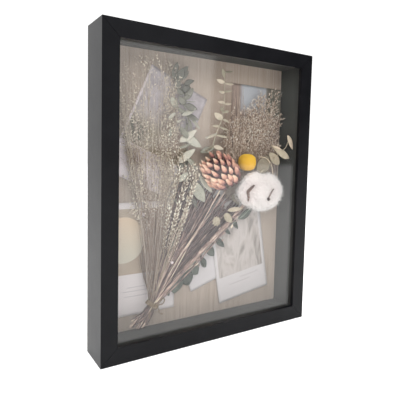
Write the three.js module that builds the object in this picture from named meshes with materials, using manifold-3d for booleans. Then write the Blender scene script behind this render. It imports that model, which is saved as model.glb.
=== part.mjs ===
// A wall or table shadow box: four mitred L-section rails, a glass pane, four spacer liners,
// a linen-covered back panel held by eight screwed turn buttons, and a dried bouquet with
// printed cards fixed to that panel.
//
// Millimetres, +Z up. The box stands on its bottom rail with the glass facing -Y.
// Origin: centre of the bottom rail's underside. X runs along the width, Y into the depth.

import * as THREE from 'three';
import { mergeVertices } from 'three/addons/utils/BufferGeometryUtils.js';
import Module from 'manifold-3d';

const wasm = await Module();
wasm.setup();

// ---------------------------------------------------------------- driving dimensions

const WIDTH = 310; // outside, for an 11 x 14 in insert
const HEIGHT = 386;
const DEPTH = 50; // rail depth, without the rear hardware
const WALL = 15; // rail wall behind the lip
const BEZEL = 20; // front face width of a rail
const LIP = 5; // thickness of the front lip
const GAP = 0.3; // clearance between neighbouring pieces
const MITRE_GAP = 0.21; // each end's set-back along the rail

const FRONT = -DEPTH / 2;
const BACK = DEPTH / 2;
const INSIDE_X = WIDTH / 2 - WALL; // half width between the rail walls

const GLASS_T = 2;
const GLASS_FRONT = FRONT + LIP + 0.2;
const LINER_T = 1.8;
const LINER_FRONT = GLASS_FRONT + GLASS_T + 0.2;
const LINER_BACK = 20.8;
const LINEN_FRONT = 21;
const LINEN_BACK = 22;
const BOARD_FRONT = 22.2;
const BOARD_BACK = 24.9;
const PANEL_CLEARANCE = 0.5; // round the glass and the back panel

const CARD_W = 90;
const CARD_H = 144;
const CARD_T = 0.5;
const CARD_LAYERS = [20.2, 19.4, 18.6]; // front face of each layer of cards

const BUTTON_W = 10;
const BUTTON_T = 1;
const BUTTON_REACH = 17; // from the pivot to the centre of the far round end
const BUTTON_FRONT = BACK + GAP;
const BUTTON_PLACES = [0.26, 0.74]; // fraction of each rail's length
const SCREW_R = 1.5;
const SCREW_HEAD_R = 3.4;
const SCREW_HEAD_T = 1.8;
const SCREW_CROWN = 0.72; // radius of the head's flat top, as a fraction of the head's
const SCREW_HEAD_EDGE = 0.8; // straight part of the head's side
const SCREW_POINT_L = 3;
const SCREW_TIP = 15; // y of the screw's point inside the rail
const RECESS_L = 3.4; // each arm of the cross recess
const RECESS_W = 0.7;
const RECESS_DEPTH = 0.9;
const HOLE_R = SCREW_R + GAP;

const HANGER_L = 44;
const HANGER_W = 9;
const HANGER_T = 1;
const HANGER_NAIL_AT = 18; // from the hanger's middle
const HANGER_TEETH = 9;
const TOOTH_PITCH = 3;
const TOOTH_DEPTH = 1.6;
const NAIL_R = 0.7;
const NAIL_L = 11; // inside the rail
const NAIL_POINT_L = 1.5;
const NAIL_HEAD_R = 1.8;
const NAIL_HEAD_T = 0.9;
const BUMPER_R = 5;
const BUMPER_CROWN_R = 3; // of the flat that touches the wall
const BUMPER_T = 3.5;
const BUMPER_EDGE = 0.46; // heights of the dome's profile points, as fractions of its thickness
const BUMPER_SHOULDER = 0.83;
const BUMPER_AT = 30; // from each end of a side rail
const V_NAIL_LEG = 6;
const V_NAIL_T = 0.8;
const V_NAIL_AT = 6; // from both outer faces
const V_NAIL_FRONT = 17; // y of the nail's inner edge
const V_NAIL_SUNK = 0.1; // below the rail's rear face

const PIN_R = 0.4;
const PIN_HOLE_R = 0.7;
const PIN_POINT_L = 1;
const PIN_TIP = 24.2; // y of each pin's point inside the backing board

// Depth ranges of the bouquet's layers, each as the front and the back face.
const HEAD_LAYER = [-16.5, 13];
const SIDE_LEAF_LAYER = [-15, -9];
const SEED_LAYER = [-8, -1];
const STEM_LAYER = [0.3, 6.3];
const LEAF_LAYER = [7, 12.5];
const FINE_GRASS_LAYER = [13.3, 16.2];
const BROWN_GRASS_LAYER = [13.3, 18.2];

// ---------------------------------------------------------------- materials

const finish = (color, roughness, metalness = 0) =>
  new THREE.MeshStandardMaterial({ color, roughness, metalness });

const BLACK_WOOD = finish(0x26272a, 0.5);
const LINER_BOARD = finish(0x3c3f3d, 0.7);
const GLASS = finish(0xdfe8e6, 0.05);
const HARDBOARD = finish(0x7a5a3e, 0.85);
const LINEN = finish(0xb4aa9b, 0.95);
const STEEL = finish(0x9b9c9e, 0.35, 0.9);
const ZINC = finish(0xb8b9bb, 0.4, 0.9);
const RUBBER = finish(0x2a2a2a, 0.9);
const PAPER = finish(0xdedad6, 0.8);
const PEARL = finish(0xe6dcdc, 0.3);
const STEM = finish(0x8c7a6c, 0.9);
const TWINE = finish(0x59503c, 0.95);
const CONE_BROWN = finish(0xa87a66, 0.8);
const COTTON = finish(0xf2efee, 1.0);
const YELLOW = finish(0xe0b432, 0.9);
const GRASS_TAN = finish(0xa39889, 0.95);
const GRASS_BROWN = finish(0x8f8272, 0.95);
const SEED_CREAM = finish(0xc9c0a8, 0.9);
const LEAF_PALE = finish(0xaeb3a2, 0.85);
const LEAF_DARK = finish(0x4f5850, 0.85);

// ---------------------------------------------------------------- shapes and booleans

const group = new THREE.Group();

function place(parent, name, geometry, material) {
  const mesh = new THREE.Mesh(geometry, material);
  mesh.name = name;
  parent.add(mesh);
  return mesh;
}

function outline(points) {
  return new THREE.Shape(points.map(([x, z]) => new THREE.Vector2(x, z)));
}

function rectangle(left, right, bottom, top) {
  return outline([[left, bottom], [right, bottom], [right, top], [left, top]]);
}

// A flat outline in the XZ plane with thickness along Y.
function slab(shape, yFront, yBack, curveSegments = 12) {
  const solid = new THREE.ExtrudeGeometry(shape, {
    depth: yBack - yFront,
    bevelEnabled: false,
    curveSegments,
  });
  solid.rotateX(Math.PI / 2);
  solid.translate(0, yBack, 0);
  return solid;
}

// A round bar along Y.
function bar(radius, yFront, yBack, x, z, sides = 16) {
  const solid = new THREE.CylinderGeometry(radius, radius, yBack - yFront, sides);
  solid.translate(x, (yFront + yBack) / 2, z);
  return solid;
}

// A solid of revolution about Y from [radius, y] pairs.
function turned(profile, sides = 16) {
  return new THREE.LatheGeometry(profile.map(([r, y]) => new THREE.Vector2(r, y)), sides);
}

function ellipsoid(rx, ry, rz) {
  const solid = new THREE.SphereGeometry(1, 24, 14);
  solid.scale(rx, ry, rz);
  return solid;
}

function toManifold(geometry) {
  const bare = geometry.clone();
  bare.deleteAttribute('normal');
  bare.deleteAttribute('uv');
  const merged = mergeVertices(bare, 1e-4);
  const mesh = new wasm.Mesh({
    numProp: 3,
    vertProperties: new Float32Array(merged.attributes.position.array),
    triVerts: new Uint32Array(merged.index.array),
  });
  return new wasm.Manifold(mesh);
}

function fromManifold(solid) {
  const mesh = solid.getMesh();
  const geometry = new THREE.BufferGeometry();
  geometry.setAttribute('position', new THREE.BufferAttribute(mesh.vertProperties, 3));
  geometry.setIndex(new THREE.BufferAttribute(mesh.triVerts, 1));
  return geometry;
}

function cut(geometry, tools) {
  const solid = tools.reduce((rest, tool) => rest.subtract(toManifold(tool)), toManifold(geometry));
  return fromManifold(solid);
}

// ---------------------------------------------------------------- rails and their hardware
//
// Each rail has its own group: local X runs inward from the rail's outer face, local Y is the
// box's depth, and local Z runs along the rail from its first outer corner.

function mitredRail(length) {
  const section = outline([
    [0, FRONT], [BEZEL, FRONT], [BEZEL, FRONT + LIP], [WALL, FRONT + LIP], [WALL, BACK], [0, BACK],
  ]);
  const rail = new THREE.ExtrudeGeometry(section, { depth: length, bevelEnabled: false });
  const position = rail.attributes.position;
  for (let i = 0; i < position.count; i += 1) {
    const inward = position.getX(i);
    const atStart = position.getZ(i) < length / 2;
    const setBack = inward + MITRE_GAP;
    position.setZ(i, atStart ? setBack : length - setBack);
  }
  return rail;
}

// The V-shaped corner nail, its two legs parallel to the two rails. spread widens it all round.
function vNailOutline(spread) {
  const low = V_NAIL_AT - V_NAIL_T / 2 - spread;
  const high = V_NAIL_AT + V_NAIL_T / 2 + spread;
  const tip = V_NAIL_AT + V_NAIL_LEG + spread;
  return outline([[low, low], [tip, low], [tip, high], [high, high], [high, tip], [low, tip]]);
}

function vNail(spread) {
  return slab(vNailOutline(spread), V_NAIL_FRONT - spread, BACK - V_NAIL_SUNK + 2 * spread);
}

function vNailSlots(length) {
  const first = vNail(GAP);
  const last = vNail(GAP);
  last.rotateY(Math.PI / 2);
  last.translate(0, 0, length);
  return [first, last];
}

function screw() {
  const headFront = BUTTON_FRONT + BUTTON_T + GAP;
  const headBack = headFront + SCREW_HEAD_T;
  const body = turned([
    [0, SCREW_TIP], [SCREW_R, SCREW_TIP + SCREW_POINT_L], [SCREW_R, headFront],
    [SCREW_HEAD_R, headFront], [SCREW_HEAD_R, headFront + SCREW_HEAD_EDGE],
    [SCREW_HEAD_R * SCREW_CROWN, headBack], [0, headBack],
  ]);
  const recess = [
    new THREE.BoxGeometry(RECESS_L, 2 * RECESS_DEPTH, RECESS_W),
    new THREE.BoxGeometry(RECESS_W, 2 * RECESS_DEPTH, RECESS_L),
  ];
  recess.forEach((slot) => slot.translate(0, headBack, 0));
  return cut(body, recess);
}

function turnButton() {
  const half = BUTTON_W / 2;
  const tab = new THREE.Shape();
  tab.moveTo(-half, 0);
  tab.absarc(0, 0, half, Math.PI, 2 * Math.PI, false);
  tab.lineTo(half, BUTTON_REACH);
  tab.absarc(0, BUTTON_REACH, half, 0, Math.PI, false);
  tab.closePath();
  const hole = new THREE.Path();
  hole.absarc(0, 0, HOLE_R, 0, 2 * Math.PI, true);
  tab.holes.push(hole);
  return slab(tab, BUTTON_FRONT, BUTTON_FRONT + BUTTON_T);
}

// The sawtooth hanger's teeth point inward, which is down when its rail is on top.
function hangerOutline() {
  const near = WALL / 2 - HANGER_W / 2;
  const far = near + HANGER_W;
  const points = [[near, -HANGER_L / 2], [far, -HANGER_L / 2]];
  for (let i = 0; i < HANGER_TEETH; i += 1) {
    const start = (i - HANGER_TEETH / 2) * TOOTH_PITCH;
    points.push([far, start]);
    points.push([far - TOOTH_DEPTH, start + TOOTH_PITCH / 2]);
  }
  points.push([far, (HANGER_TEETH / 2) * TOOTH_PITCH]);
  points.push([far, HANGER_L / 2]);
  points.push([near, HANGER_L / 2]);
  return outline(points);
}

function hangerNail() {
  const tip = BACK - NAIL_L;
  const headFront = BACK + GAP + HANGER_T + GAP;
  const headBack = headFront + NAIL_HEAD_T;
  return turned([
    [0, tip], [NAIL_R, tip + NAIL_POINT_L], [NAIL_R, headFront], [NAIL_HEAD_R, headFront],
    [NAIL_HEAD_R, headBack - NAIL_HEAD_T / 3], [0, headBack],
  ], 12);
}

function bumper() {
  const start = BACK + GAP;
  const end = start + BUMPER_T;
  const edge = start + BUMPER_T * BUMPER_EDGE;
  const shoulder = start + BUMPER_T * BUMPER_SHOULDER;
  return turned([
    [0, start], [BUMPER_R, start], [BUMPER_R, edge], [(BUMPER_R + BUMPER_CROWN_R) / 2, shoulder],
    [BUMPER_CROWN_R, end], [0, end],
  ], 20);
}

function addRail({ side, length, origin, basis, hanger, bumpers }) {
  const frame = new THREE.Group();
  frame.quaternion.setFromRotationMatrix(new THREE.Matrix4().makeBasis(...basis));
  frame.position.copy(origin);
  group.add(frame);

  const pivots = BUTTON_PLACES.map((fraction) => length * fraction);
  const holes = pivots.map((along) => bar(HOLE_R, SCREW_TIP - 1, BACK + 1, WALL / 2, along));
  const nailEnd = BACK - NAIL_L - 1;
  const nails = hanger ? [length / 2 - HANGER_NAIL_AT, length / 2 + HANGER_NAIL_AT] : [];
  const nailHoles = nails.map((along) => bar(NAIL_R + GAP, nailEnd, BACK + 5, WALL / 2, along, 12));
  const rail = cut(mitredRail(length), [...holes, ...nailHoles, ...vNailSlots(length)]);
  place(frame, `rail_${side}`, rail, BLACK_WOOD);
  place(frame, `corner_v_nail_${side}`, vNail(0), ZINC);

  pivots.forEach((along, index) => {
    const button = place(frame, `turn_button_${side}_${index + 1}`, turnButton(), STEEL);
    button.position.set(WALL / 2, 0, along);
    const fastener = place(frame, `button_screw_${side}_${index + 1}`, screw(), ZINC);
    fastener.position.set(WALL / 2, 0, along);
  });

  if (hanger) {
    const plate = slab(hangerOutline(), BACK + GAP, BACK + GAP + HANGER_T);
    plate.translate(0, 0, length / 2);
    place(frame, `sawtooth_hanger_${side}`, cut(plate, nailHoles), ZINC);
    nails.forEach((along, index) => {
      const nail = place(frame, `hanger_nail_${side}_${index + 1}`, hangerNail(), ZINC);
      nail.position.set(WALL / 2, 0, along);
    });
  }

  if (bumpers) {
    [BUMPER_AT, length - BUMPER_AT].forEach((along, index) => {
      const dot = place(frame, `rear_bumper_${side}_${index + 1}`, bumper(), RUBBER);
      dot.position.set(WALL / 2, 0, along);
    });
  }
}

const X = new THREE.Vector3(1, 0, 0);
const Y = new THREE.Vector3(0, 1, 0);
const Z = new THREE.Vector3(0, 0, 1);
const MINUS_X = X.clone().negate();
const MINUS_Z = Z.clone().negate();
const HALF_W = WIDTH / 2;

addRail({
  side: 'left',
  length: HEIGHT,
  origin: new THREE.Vector3(-HALF_W, 0, 0),
  basis: [X, Y, Z],
  hanger: true,
  bumpers: true,
});
addRail({
  side: 'right',
  length: HEIGHT,
  origin: new THREE.Vector3(HALF_W, 0, HEIGHT),
  basis: [MINUS_X, Y, MINUS_Z],
  hanger: false,
  bumpers: true,
});
addRail({
  side: 'bottom',
  length: WIDTH,
  origin: new THREE.Vector3(HALF_W, 0, 0),
  basis: [Z, Y, MINUS_X],
  hanger: false,
  bumpers: false,
});
addRail({
  side: 'top',
  length: WIDTH,
  origin: new THREE.Vector3(-HALF_W, 0, HEIGHT),
  basis: [MINUS_Z, Y, X],
  hanger: true,
  bumpers: false,
});

// ---------------------------------------------------------------- glass and liners

const PANEL_X = INSIDE_X - PANEL_CLEARANCE;
const PANEL_LOW = WALL + PANEL_CLEARANCE;
const PANEL_HIGH = HEIGHT - WALL - PANEL_CLEARANCE;
const panelShape = () => rectangle(-PANEL_X, PANEL_X, PANEL_LOW, PANEL_HIGH);

place(group, 'glass_pane', slab(panelShape(), GLASS_FRONT, GLASS_FRONT + GLASS_T), GLASS);

function addLiners() {
  const outerX = INSIDE_X - 0.2;
  const low = WALL + 0.2;
  const high = HEIGHT - WALL - 0.2;
  const strips = {
    liner_bottom: rectangle(-outerX, outerX, low, low + LINER_T),
    liner_top: rectangle(-outerX, outerX, high - LINER_T, high),
    liner_left: rectangle(-outerX, -outerX + LINER_T, low + LINER_T + GAP, high - LINER_T - GAP),
    liner_right: rectangle(outerX - LINER_T, outerX, low + LINER_T + GAP, high - LINER_T - GAP),
  };
  Object.entries(strips).forEach(([name, shape]) => {
    place(group, name, slab(shape, LINER_FRONT, LINER_BACK), LINER_BOARD);
  });
}
addLiners();

// ---------------------------------------------------------------- back panel and cards

// The first pin holds a card; the second goes through the bouquet's stems as well.
const PINS = [
  { name: 'card_pin', x: -87, z: 164, headR: 2.8, headBack: CARD_LAYERS[0] - GAP },
  { name: 'bouquet_pin', x: -54.4, z: 103.2, headR: 1.9, headBack: STEM_LAYER[0] - GAP },
];

const pinHoles = () =>
  PINS.map(({ x, z, headBack }) => bar(PIN_HOLE_R, headBack, PIN_TIP + GAP, x, z, 8));

place(group, 'backing_board', cut(slab(panelShape(), BOARD_FRONT, BOARD_BACK), pinHoles()), HARDBOARD);
place(group, 'linen_cover', cut(slab(panelShape(), LINEN_FRONT, LINEN_BACK), pinHoles()), LINEN);

function addCard({ name, x, z, turn, layer, pinned }) {
  const front = CARD_LAYERS[layer];
  const blank = slab(
    rectangle(-CARD_W / 2, CARD_W / 2, -CARD_H / 2, CARD_H / 2), front, front + CARD_T,
  );
  blank.rotateY(-THREE.MathUtils.degToRad(turn));
  blank.translate(x, 0, z);
  place(group, name, pinned ? cut(blank, pinHoles()) : blank, PAPER);
}

addCard({ name: 'card_upper_left', x: -64.7, z: 268, turn: -24, layer: 0, pinned: false });
addCard({ name: 'card_upper_right', x: 90.5, z: 269, turn: -1, layer: 0, pinned: false });
addCard({ name: 'card_lower_left', x: -84.8, z: 108, turn: 0, layer: 0, pinned: true });
addCard({ name: 'card_lower_middle', x: 7, z: 134.8, turn: 17.6, layer: 1, pinned: false });
addCard({ name: 'card_lower_right', x: 65.5, z: 106.2, turn: 9.5, layer: 2, pinned: false });

PINS.forEach(({ name, x, z, headR, headBack }) => {
  const pin = turned([
    [0, headBack - headR * 1.2], [headR * 0.7, headBack - headR], [headR, headBack - headR * 0.5],
    [headR * 0.8, headBack], [PIN_R, headBack], [PIN_R, PIN_TIP - PIN_POINT_L], [0, PIN_TIP],
  ]);
  place(group, name, pin, PEARL).position.set(x, 0, z);
});

// ---------------------------------------------------------------- dried bouquet
//
// Plain closed solids in layers through the depth: grasses at the back, leaf sprigs before
// them, then the stems, then the seed heads and the three large heads.

const CONE_SIZE = { x: 64.8, z: 54 };
const BOLL_SIZE = { x: 76.8, z: 57.2 };
const CRASPEDIA_R = 11.8;
const TIE = { x: -80, y: 3.3, z: 51.5, lean: 40 }; // lean in degrees from upright
const TIE_WALL = 1.6;
const TIE_L = 5; // along the stems
const TIE_OUTER = { x: 9.2, y: 7 }; // half sizes of the oval

function addHeads() {
  const [front, back] = HEAD_LAYER;
  const middle = (front + back) / 2;
  const half = (back - front) / 2;
  const cone = ellipsoid(CONE_SIZE.x / 2, half, CONE_SIZE.z / 2);
  const boll = ellipsoid(BOLL_SIZE.x / 2, half, BOLL_SIZE.z / 2);
  const craspedia = ellipsoid(CRASPEDIA_R, CRASPEDIA_R, CRASPEDIA_R);
  place(group, 'pine_cone', cone, CONE_BROWN).position.set(16, middle, 220);
  place(group, 'cotton_boll', boll, COTTON).position.set(84, middle, 190);
  place(group, 'craspedia_head', craspedia, YELLOW).position.set(61.5, 0, 231.5);
}
addHeads();

function addTie() {
  const ring = new THREE.Shape();
  ring.absellipse(0, 0, TIE_OUTER.x, TIE_OUTER.y, 0, 2 * Math.PI, false);
  const hole = new THREE.Path();
  hole.absellipse(0, 0, TIE_OUTER.x - TIE_WALL, TIE_OUTER.y - TIE_WALL, 0, 2 * Math.PI, true);
  ring.holes.push(hole);
  const solid = new THREE.ExtrudeGeometry(ring, {
    depth: TIE_L,
    bevelEnabled: false,
    curveSegments: 24,
  });
  solid.translate(0, 0, -TIE_L / 2);
  const tie = place(group, 'twine_tie', solid, TWINE);
  tie.rotation.y = THREE.MathUtils.degToRad(TIE.lean);
  tie.position.set(TIE.x, TIE.y, TIE.z);
}
addTie();

const stemOutline = outline([
  [-113, 32], [-101, 23], [-75.8, 48], [59, 162], [50, 171], [43, 185], [32, 191], [16, 190],
  [0, 191], [-16, 198], [-84.2, 55],
]);
place(group, 'stem_bundle', cut(slab(stemOutline, ...STEM_LAYER), pinHoles()), STEM);

const leftGrassOutline = outline([
  [-88, 62], [-57, 130], [-46, 207], [-38, 285], [-47, 352], [-84, 350], [-113, 304], [-119, 245],
  [-112, 184],
]);
place(group, 'fine_grass', slab(leftGrassOutline, ...FINE_GRASS_LAYER), GRASS_TAN);

const rightGrassOutline = outline([
  [39, 234], [60, 200], [113, 227], [136, 250], [134, 322], [96, 337], [53, 329], [44, 304],
]);
place(group, 'brown_grass', slab(rightGrassOutline, ...BROWN_GRASS_LAYER), GRASS_BROWN);

const seedOutline = outline([
  [-66, 104], [-50, 128], [-28, 176], [-21, 215], [-27, 236], [-47, 215], [-60, 165],
]);
place(group, 'seed_cluster', slab(seedOutline, ...SEED_LAYER), SEED_CREAM);

const eucalyptusOutline = outline([
  [-34, 196], [-22, 182], [-24, 236], [-14, 262], [-20, 302], [-54, 345], [-72, 345], [-48, 300],
]);
place(group, 'eucalyptus_sprig', slab(eucalyptusOutline, ...LEAF_LAYER), LEAF_PALE);

const ladderOutline = outline([[12, 256], [40, 256], [38, 345], [25, 355], [11, 345]]);
place(group, 'baby_eucalyptus', slab(ladderOutline, ...LEAF_LAYER), LEAF_PALE);

const sideLeafOutline = outline([[96, 244], [116, 232], [136, 240], [136.5, 258], [126, 268]]);
place(group, 'side_leaves', slab(sideLeafOutline, ...SIDE_LEAF_LAYER), LEAF_PALE);

const leafRowOutline = outline([
  [-50, 66], [-38, 60], [12, 92], [62, 134], [90, 148], [86, 158], [44, 140], [0, 110],
]);
place(group, 'leaf_row', slab(leafRowOutline, ...LEAF_LAYER), LEAF_DARK);

export default group;
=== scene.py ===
"""Looks for the shadow box: painted rails, glass, linen panel, printed cards and the dried bouquet.

The mesh builders work in millimetres, with X right, Y into the depth and Z up; Solid.build turns them
into metres.
"""

import math

import bpy
import numpy as np
from mathutils import Matrix, Vector


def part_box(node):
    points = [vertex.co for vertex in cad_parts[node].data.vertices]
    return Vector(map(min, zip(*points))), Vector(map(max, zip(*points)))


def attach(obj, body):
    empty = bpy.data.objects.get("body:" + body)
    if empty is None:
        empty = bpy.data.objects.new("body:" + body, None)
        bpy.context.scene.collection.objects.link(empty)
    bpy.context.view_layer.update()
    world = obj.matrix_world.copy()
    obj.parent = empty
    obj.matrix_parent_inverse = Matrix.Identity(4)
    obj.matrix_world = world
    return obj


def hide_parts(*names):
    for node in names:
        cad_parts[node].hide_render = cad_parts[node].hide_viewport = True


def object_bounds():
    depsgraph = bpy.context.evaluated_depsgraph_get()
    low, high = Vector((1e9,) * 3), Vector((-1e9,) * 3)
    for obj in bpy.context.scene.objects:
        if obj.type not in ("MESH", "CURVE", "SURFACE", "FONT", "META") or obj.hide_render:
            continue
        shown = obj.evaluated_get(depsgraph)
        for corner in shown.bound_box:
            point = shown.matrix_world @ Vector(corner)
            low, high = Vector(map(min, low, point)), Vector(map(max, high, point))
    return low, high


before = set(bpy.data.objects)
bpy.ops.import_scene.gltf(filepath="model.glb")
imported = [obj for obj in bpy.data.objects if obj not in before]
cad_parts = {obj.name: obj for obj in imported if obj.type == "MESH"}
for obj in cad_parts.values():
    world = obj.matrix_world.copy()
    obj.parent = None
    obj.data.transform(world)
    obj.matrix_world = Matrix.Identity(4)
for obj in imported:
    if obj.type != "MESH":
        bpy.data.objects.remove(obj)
cad_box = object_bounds()

MM = 0.001
PANEL = "back_panel"  # the body that carries the cards and the bouquet
DEPTHWISE = np.array([0.0, 1.0, 0.0])
GOLDEN_ANGLE = math.radians(137.508)


def node_box(name):
    low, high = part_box(name)
    return np.array(low) / MM, np.array(high) / MM


def node_middle(name):
    low, high = node_box(name)
    return (low + high) / 2


def add_object(name, data):
    made = bpy.data.objects.new(name, data)
    bpy.context.scene.collection.objects.link(made)
    return made


# --- node materials

LIGHT_LEVEL = 1.08  # how bright a white card stands in this light
BRIGHTEST = 0.9  # of any reflectance that tone() gives


def tone(red, green, blue):
    """A colour as it should look in the soft studio light, as a linear reflectance."""
    linear = [((c / 255 + 0.055) / 1.055) ** 2.4 for c in (red, green, blue)]
    return tuple(min(c / LIGHT_LEVEL, BRIGHTEST) for c in linear)


def tones(*stops):
    return [(at, tone(*colour)) for at, *colour in stops]


def greys(*stops):
    return [(at, (level, level, level)) for at, level in stops]


def feed(tree, socket, value):
    if isinstance(value, bpy.types.NodeSocket):
        tree.links.new(value, socket)
    else:
        socket.default_value = value


def feed_all(tree, node, inputs):
    for key, value in inputs.items():
        feed(tree, node.inputs[key.replace("_", " ")], value)


def add_node(tree, kind, settings=None, **inputs):
    made = tree.nodes.new(kind)
    for key, value in (settings or {}).items():
        setattr(made, key, value)
    feed_all(tree, made, inputs)
    return made


class Finish:
    """A Principled material with short helpers for the procedural nodes that feed it."""

    def __init__(self, name, roughness=0.6, metallic=0.0, specular=0.5):
        self.material = bpy.data.materials.new(name)
        self.material.use_nodes = True
        self.tree = self.material.node_tree
        self.shader = self.tree.nodes["Principled BSDF"]
        self.set(Roughness=roughness, Metallic=metallic, Specular_IOR_Level=specular)
        self.coordinate = self.node("ShaderNodeTexCoord").outputs["Object"]

    def set(self, **inputs):
        feed_all(self.tree, self.shader, inputs)

    def colour(self, value):
        self.set(Base_Color=value)

    def node(self, kind, settings=None, **inputs):
        return add_node(self.tree, kind, settings, **inputs)

    def stretched(self, scale, turn=(0, 0, 0)):
        made = self.node("ShaderNodeMapping", Vector=self.coordinate, Scale=scale, Rotation=turn)
        return made.outputs["Vector"]

    def noise(self, scale, detail=2.0, rough=0.5, vector=None, distortion=0.0):
        made = self.node("ShaderNodeTexNoise", Vector=vector or self.coordinate, Scale=scale, Detail=detail,
                         Roughness=rough, Distortion=distortion)
        return made.outputs["Fac"]

    def ramp(self, factor, stops):
        made = self.node("ShaderNodeValToRGB", Fac=factor)
        elements = made.color_ramp.elements
        while len(elements) < len(stops):
            elements.new(0.5)
        for element, (at, colour) in zip(elements, stops):
            element.position = at
            element.color = (*colour, 1)
        return made.outputs["Color"]

    def mix(self, factor, a, b, blend="MIX"):
        made = self.node("ShaderNodeMix", {"data_type": "RGBA", "blend_type": blend})
        for place, value in ((0, factor), (6, a), (7, b)):
            feed(self.tree, made.inputs[place], (*value, 1) if isinstance(value, tuple) else value)
        return made.outputs[2]

    def math(self, operation, a, b=0.0):
        made = self.node("ShaderNodeMath", {"operation": operation})
        feed(self.tree, made.inputs[0], a)
        feed(self.tree, made.inputs[1], b)
        return made.outputs[0]

    def times(self, a, b):
        return self.math("MULTIPLY", a, b)

    def less(self, a, b):
        return self.math("SUBTRACT", a, b)

    def spread(self, factor, low, high):
        return self.node("ShaderNodeMapRange", Value=factor, To_Min=low, To_Max=high).outputs["Result"]

    def attribute(self, name):
        return self.node("ShaderNodeAttribute", {"attribute_name": name}).outputs["Fac"]

    def bump(self, height, distance, strength=1.0):
        made = self.node("ShaderNodeBump", Height=height, Distance=distance, Strength=strength)
        self.set(Normal=made.outputs["Normal"])


# --- camera, floor and light

CAMERA_PLACE = Vector((-0.3021, -0.4697, 0.2458))
CAMERA_TURN = math.radians(32.655)  # from +Y towards +X
CAMERA_DOWN = math.radians(4.27)
CAMERA_ROLL = math.radians(1.355)
LENS = 38.0
SENSOR_WIDTH = 36.0
LENS_SHIFT = (-0.0225, -0.0433)

FLOOR_HALF = 6.0
FLOOR_GLOW = 0.45  # keeps the floor as pale as the studio

AREA_LIGHTS = [  # name, place, target, size, watts
    ("front_soft", (-0.9, -1.9, 1.3), (0, 0, 0.19), (1.4, 1.2), 26),
    ("top_soft", (0.3, -0.5, 1.9), (0, 0, 0.19), (1.2, 1.2), 9),
    ("glass_veil", (0.5, -1.35, 0.62), (-0.06, 0, 0.3), (0.6, 0.75), 1.5),
]
DARK_SIDE = Vector((0.5, -0.86, -0.05)).normalized()  # the studio is darker this way
STUDIO_BRIGHT = 1.15
STUDIO_DARK = 0.1


def make_camera():
    level = math.cos(CAMERA_DOWN)
    forward = Vector((math.sin(CAMERA_TURN) * level, math.cos(CAMERA_TURN) * level, -math.sin(CAMERA_DOWN)))
    level_right = forward.cross(Vector((0, 0, 1))).normalized()
    level_up = level_right.cross(forward)
    right = level_right * math.cos(CAMERA_ROLL) + level_up * math.sin(CAMERA_ROLL)
    up = right.cross(forward)
    data = bpy.data.cameras.new("camera")
    data.lens = LENS
    data.sensor_width = SENSOR_WIDTH
    data.shift_x, data.shift_y = LENS_SHIFT
    data.clip_start = 0.01
    camera = add_object("camera", data)
    turn = Matrix((right, up, -forward)).transposed()
    camera.matrix_world = Matrix.Translation(CAMERA_PLACE) @ turn.to_4x4()
    bpy.context.scene.camera = camera


def make_floor():
    mesh = bpy.data.meshes.new("floor")
    corners = [(x * FLOOR_HALF, y * FLOOR_HALF, 0) for x, y in ((-1, -1), (1, -1), (1, 1), (-1, 1))]
    mesh.from_pydata(corners, [], [(0, 1, 2, 3)])
    pale = Finish("pale_floor", roughness=0.9, specular=0.1)
    pale.set(Base_Color=(0.9, 0.9, 0.9, 1), Emission_Color=(1, 1, 1, 1), Emission_Strength=FLOOR_GLOW)
    mesh.materials.append(pale.material)
    add_object("floor", mesh)


def make_light():
    bpy.context.scene.view_settings.view_transform = "Standard"
    for name, place, target, size, watts in AREA_LIGHTS:
        data = bpy.data.lights.new(name, "AREA")
        data.shape = "RECTANGLE"
        data.size, data.size_y = size
        data.energy = watts
        light = add_object(name, data)
        light.location = place
        light.rotation_euler = (Vector(target) - Vector(place)).to_track_quat("-Z", "Y").to_euler()


def make_studio():
    """A pale world that is darker on one side."""
    world = bpy.data.worlds.new("studio")
    world.use_nodes = True
    tree = world.node_tree
    coordinate = add_node(tree, "ShaderNodeTexCoord").outputs["Generated"]
    toward = add_node(tree, "ShaderNodeVectorMath", {"operation": "DOT_PRODUCT"}, Vector=coordinate)
    toward.inputs[1].default_value = DARK_SIDE
    fall = add_node(
        tree, "ShaderNodeMapRange", {"interpolation_type": "SMOOTHSTEP"}, Value=toward.outputs["Value"],
        From_Min=0.12, From_Max=0.86, To_Min=STUDIO_BRIGHT, To_Max=STUDIO_DARK,
    )
    feed_all(tree, tree.nodes["Background"], {"Color": (1, 1, 1, 1), "Strength": fall.outputs["Result"]})
    bpy.context.scene.world = world


# --- finishes of the frame

FRAME_HEIGHT = cad_box[1][2]
LINER_PAINTED_LIGHT = [  # fraction of the frame's height, painted light and shade on the spacers there: darker near the bottom, lighter near the top
    (0.05, (0.76, 0.78, 0.78)), (0.5, (0.95, 0.96, 0.96)), (0.85, (1.35, 1.38, 1.38)),
    (0.96, (1.05, 1.07, 1.06)),
]
RAIL_EDGE = 0.0007  # width of the eased edges, in metres
BUTTON_EDGE = 0.0002
HANGER_EDGE = 0.00015
EDGE_ANGLE = math.radians(35)  # sharper turns than this are eased


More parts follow.
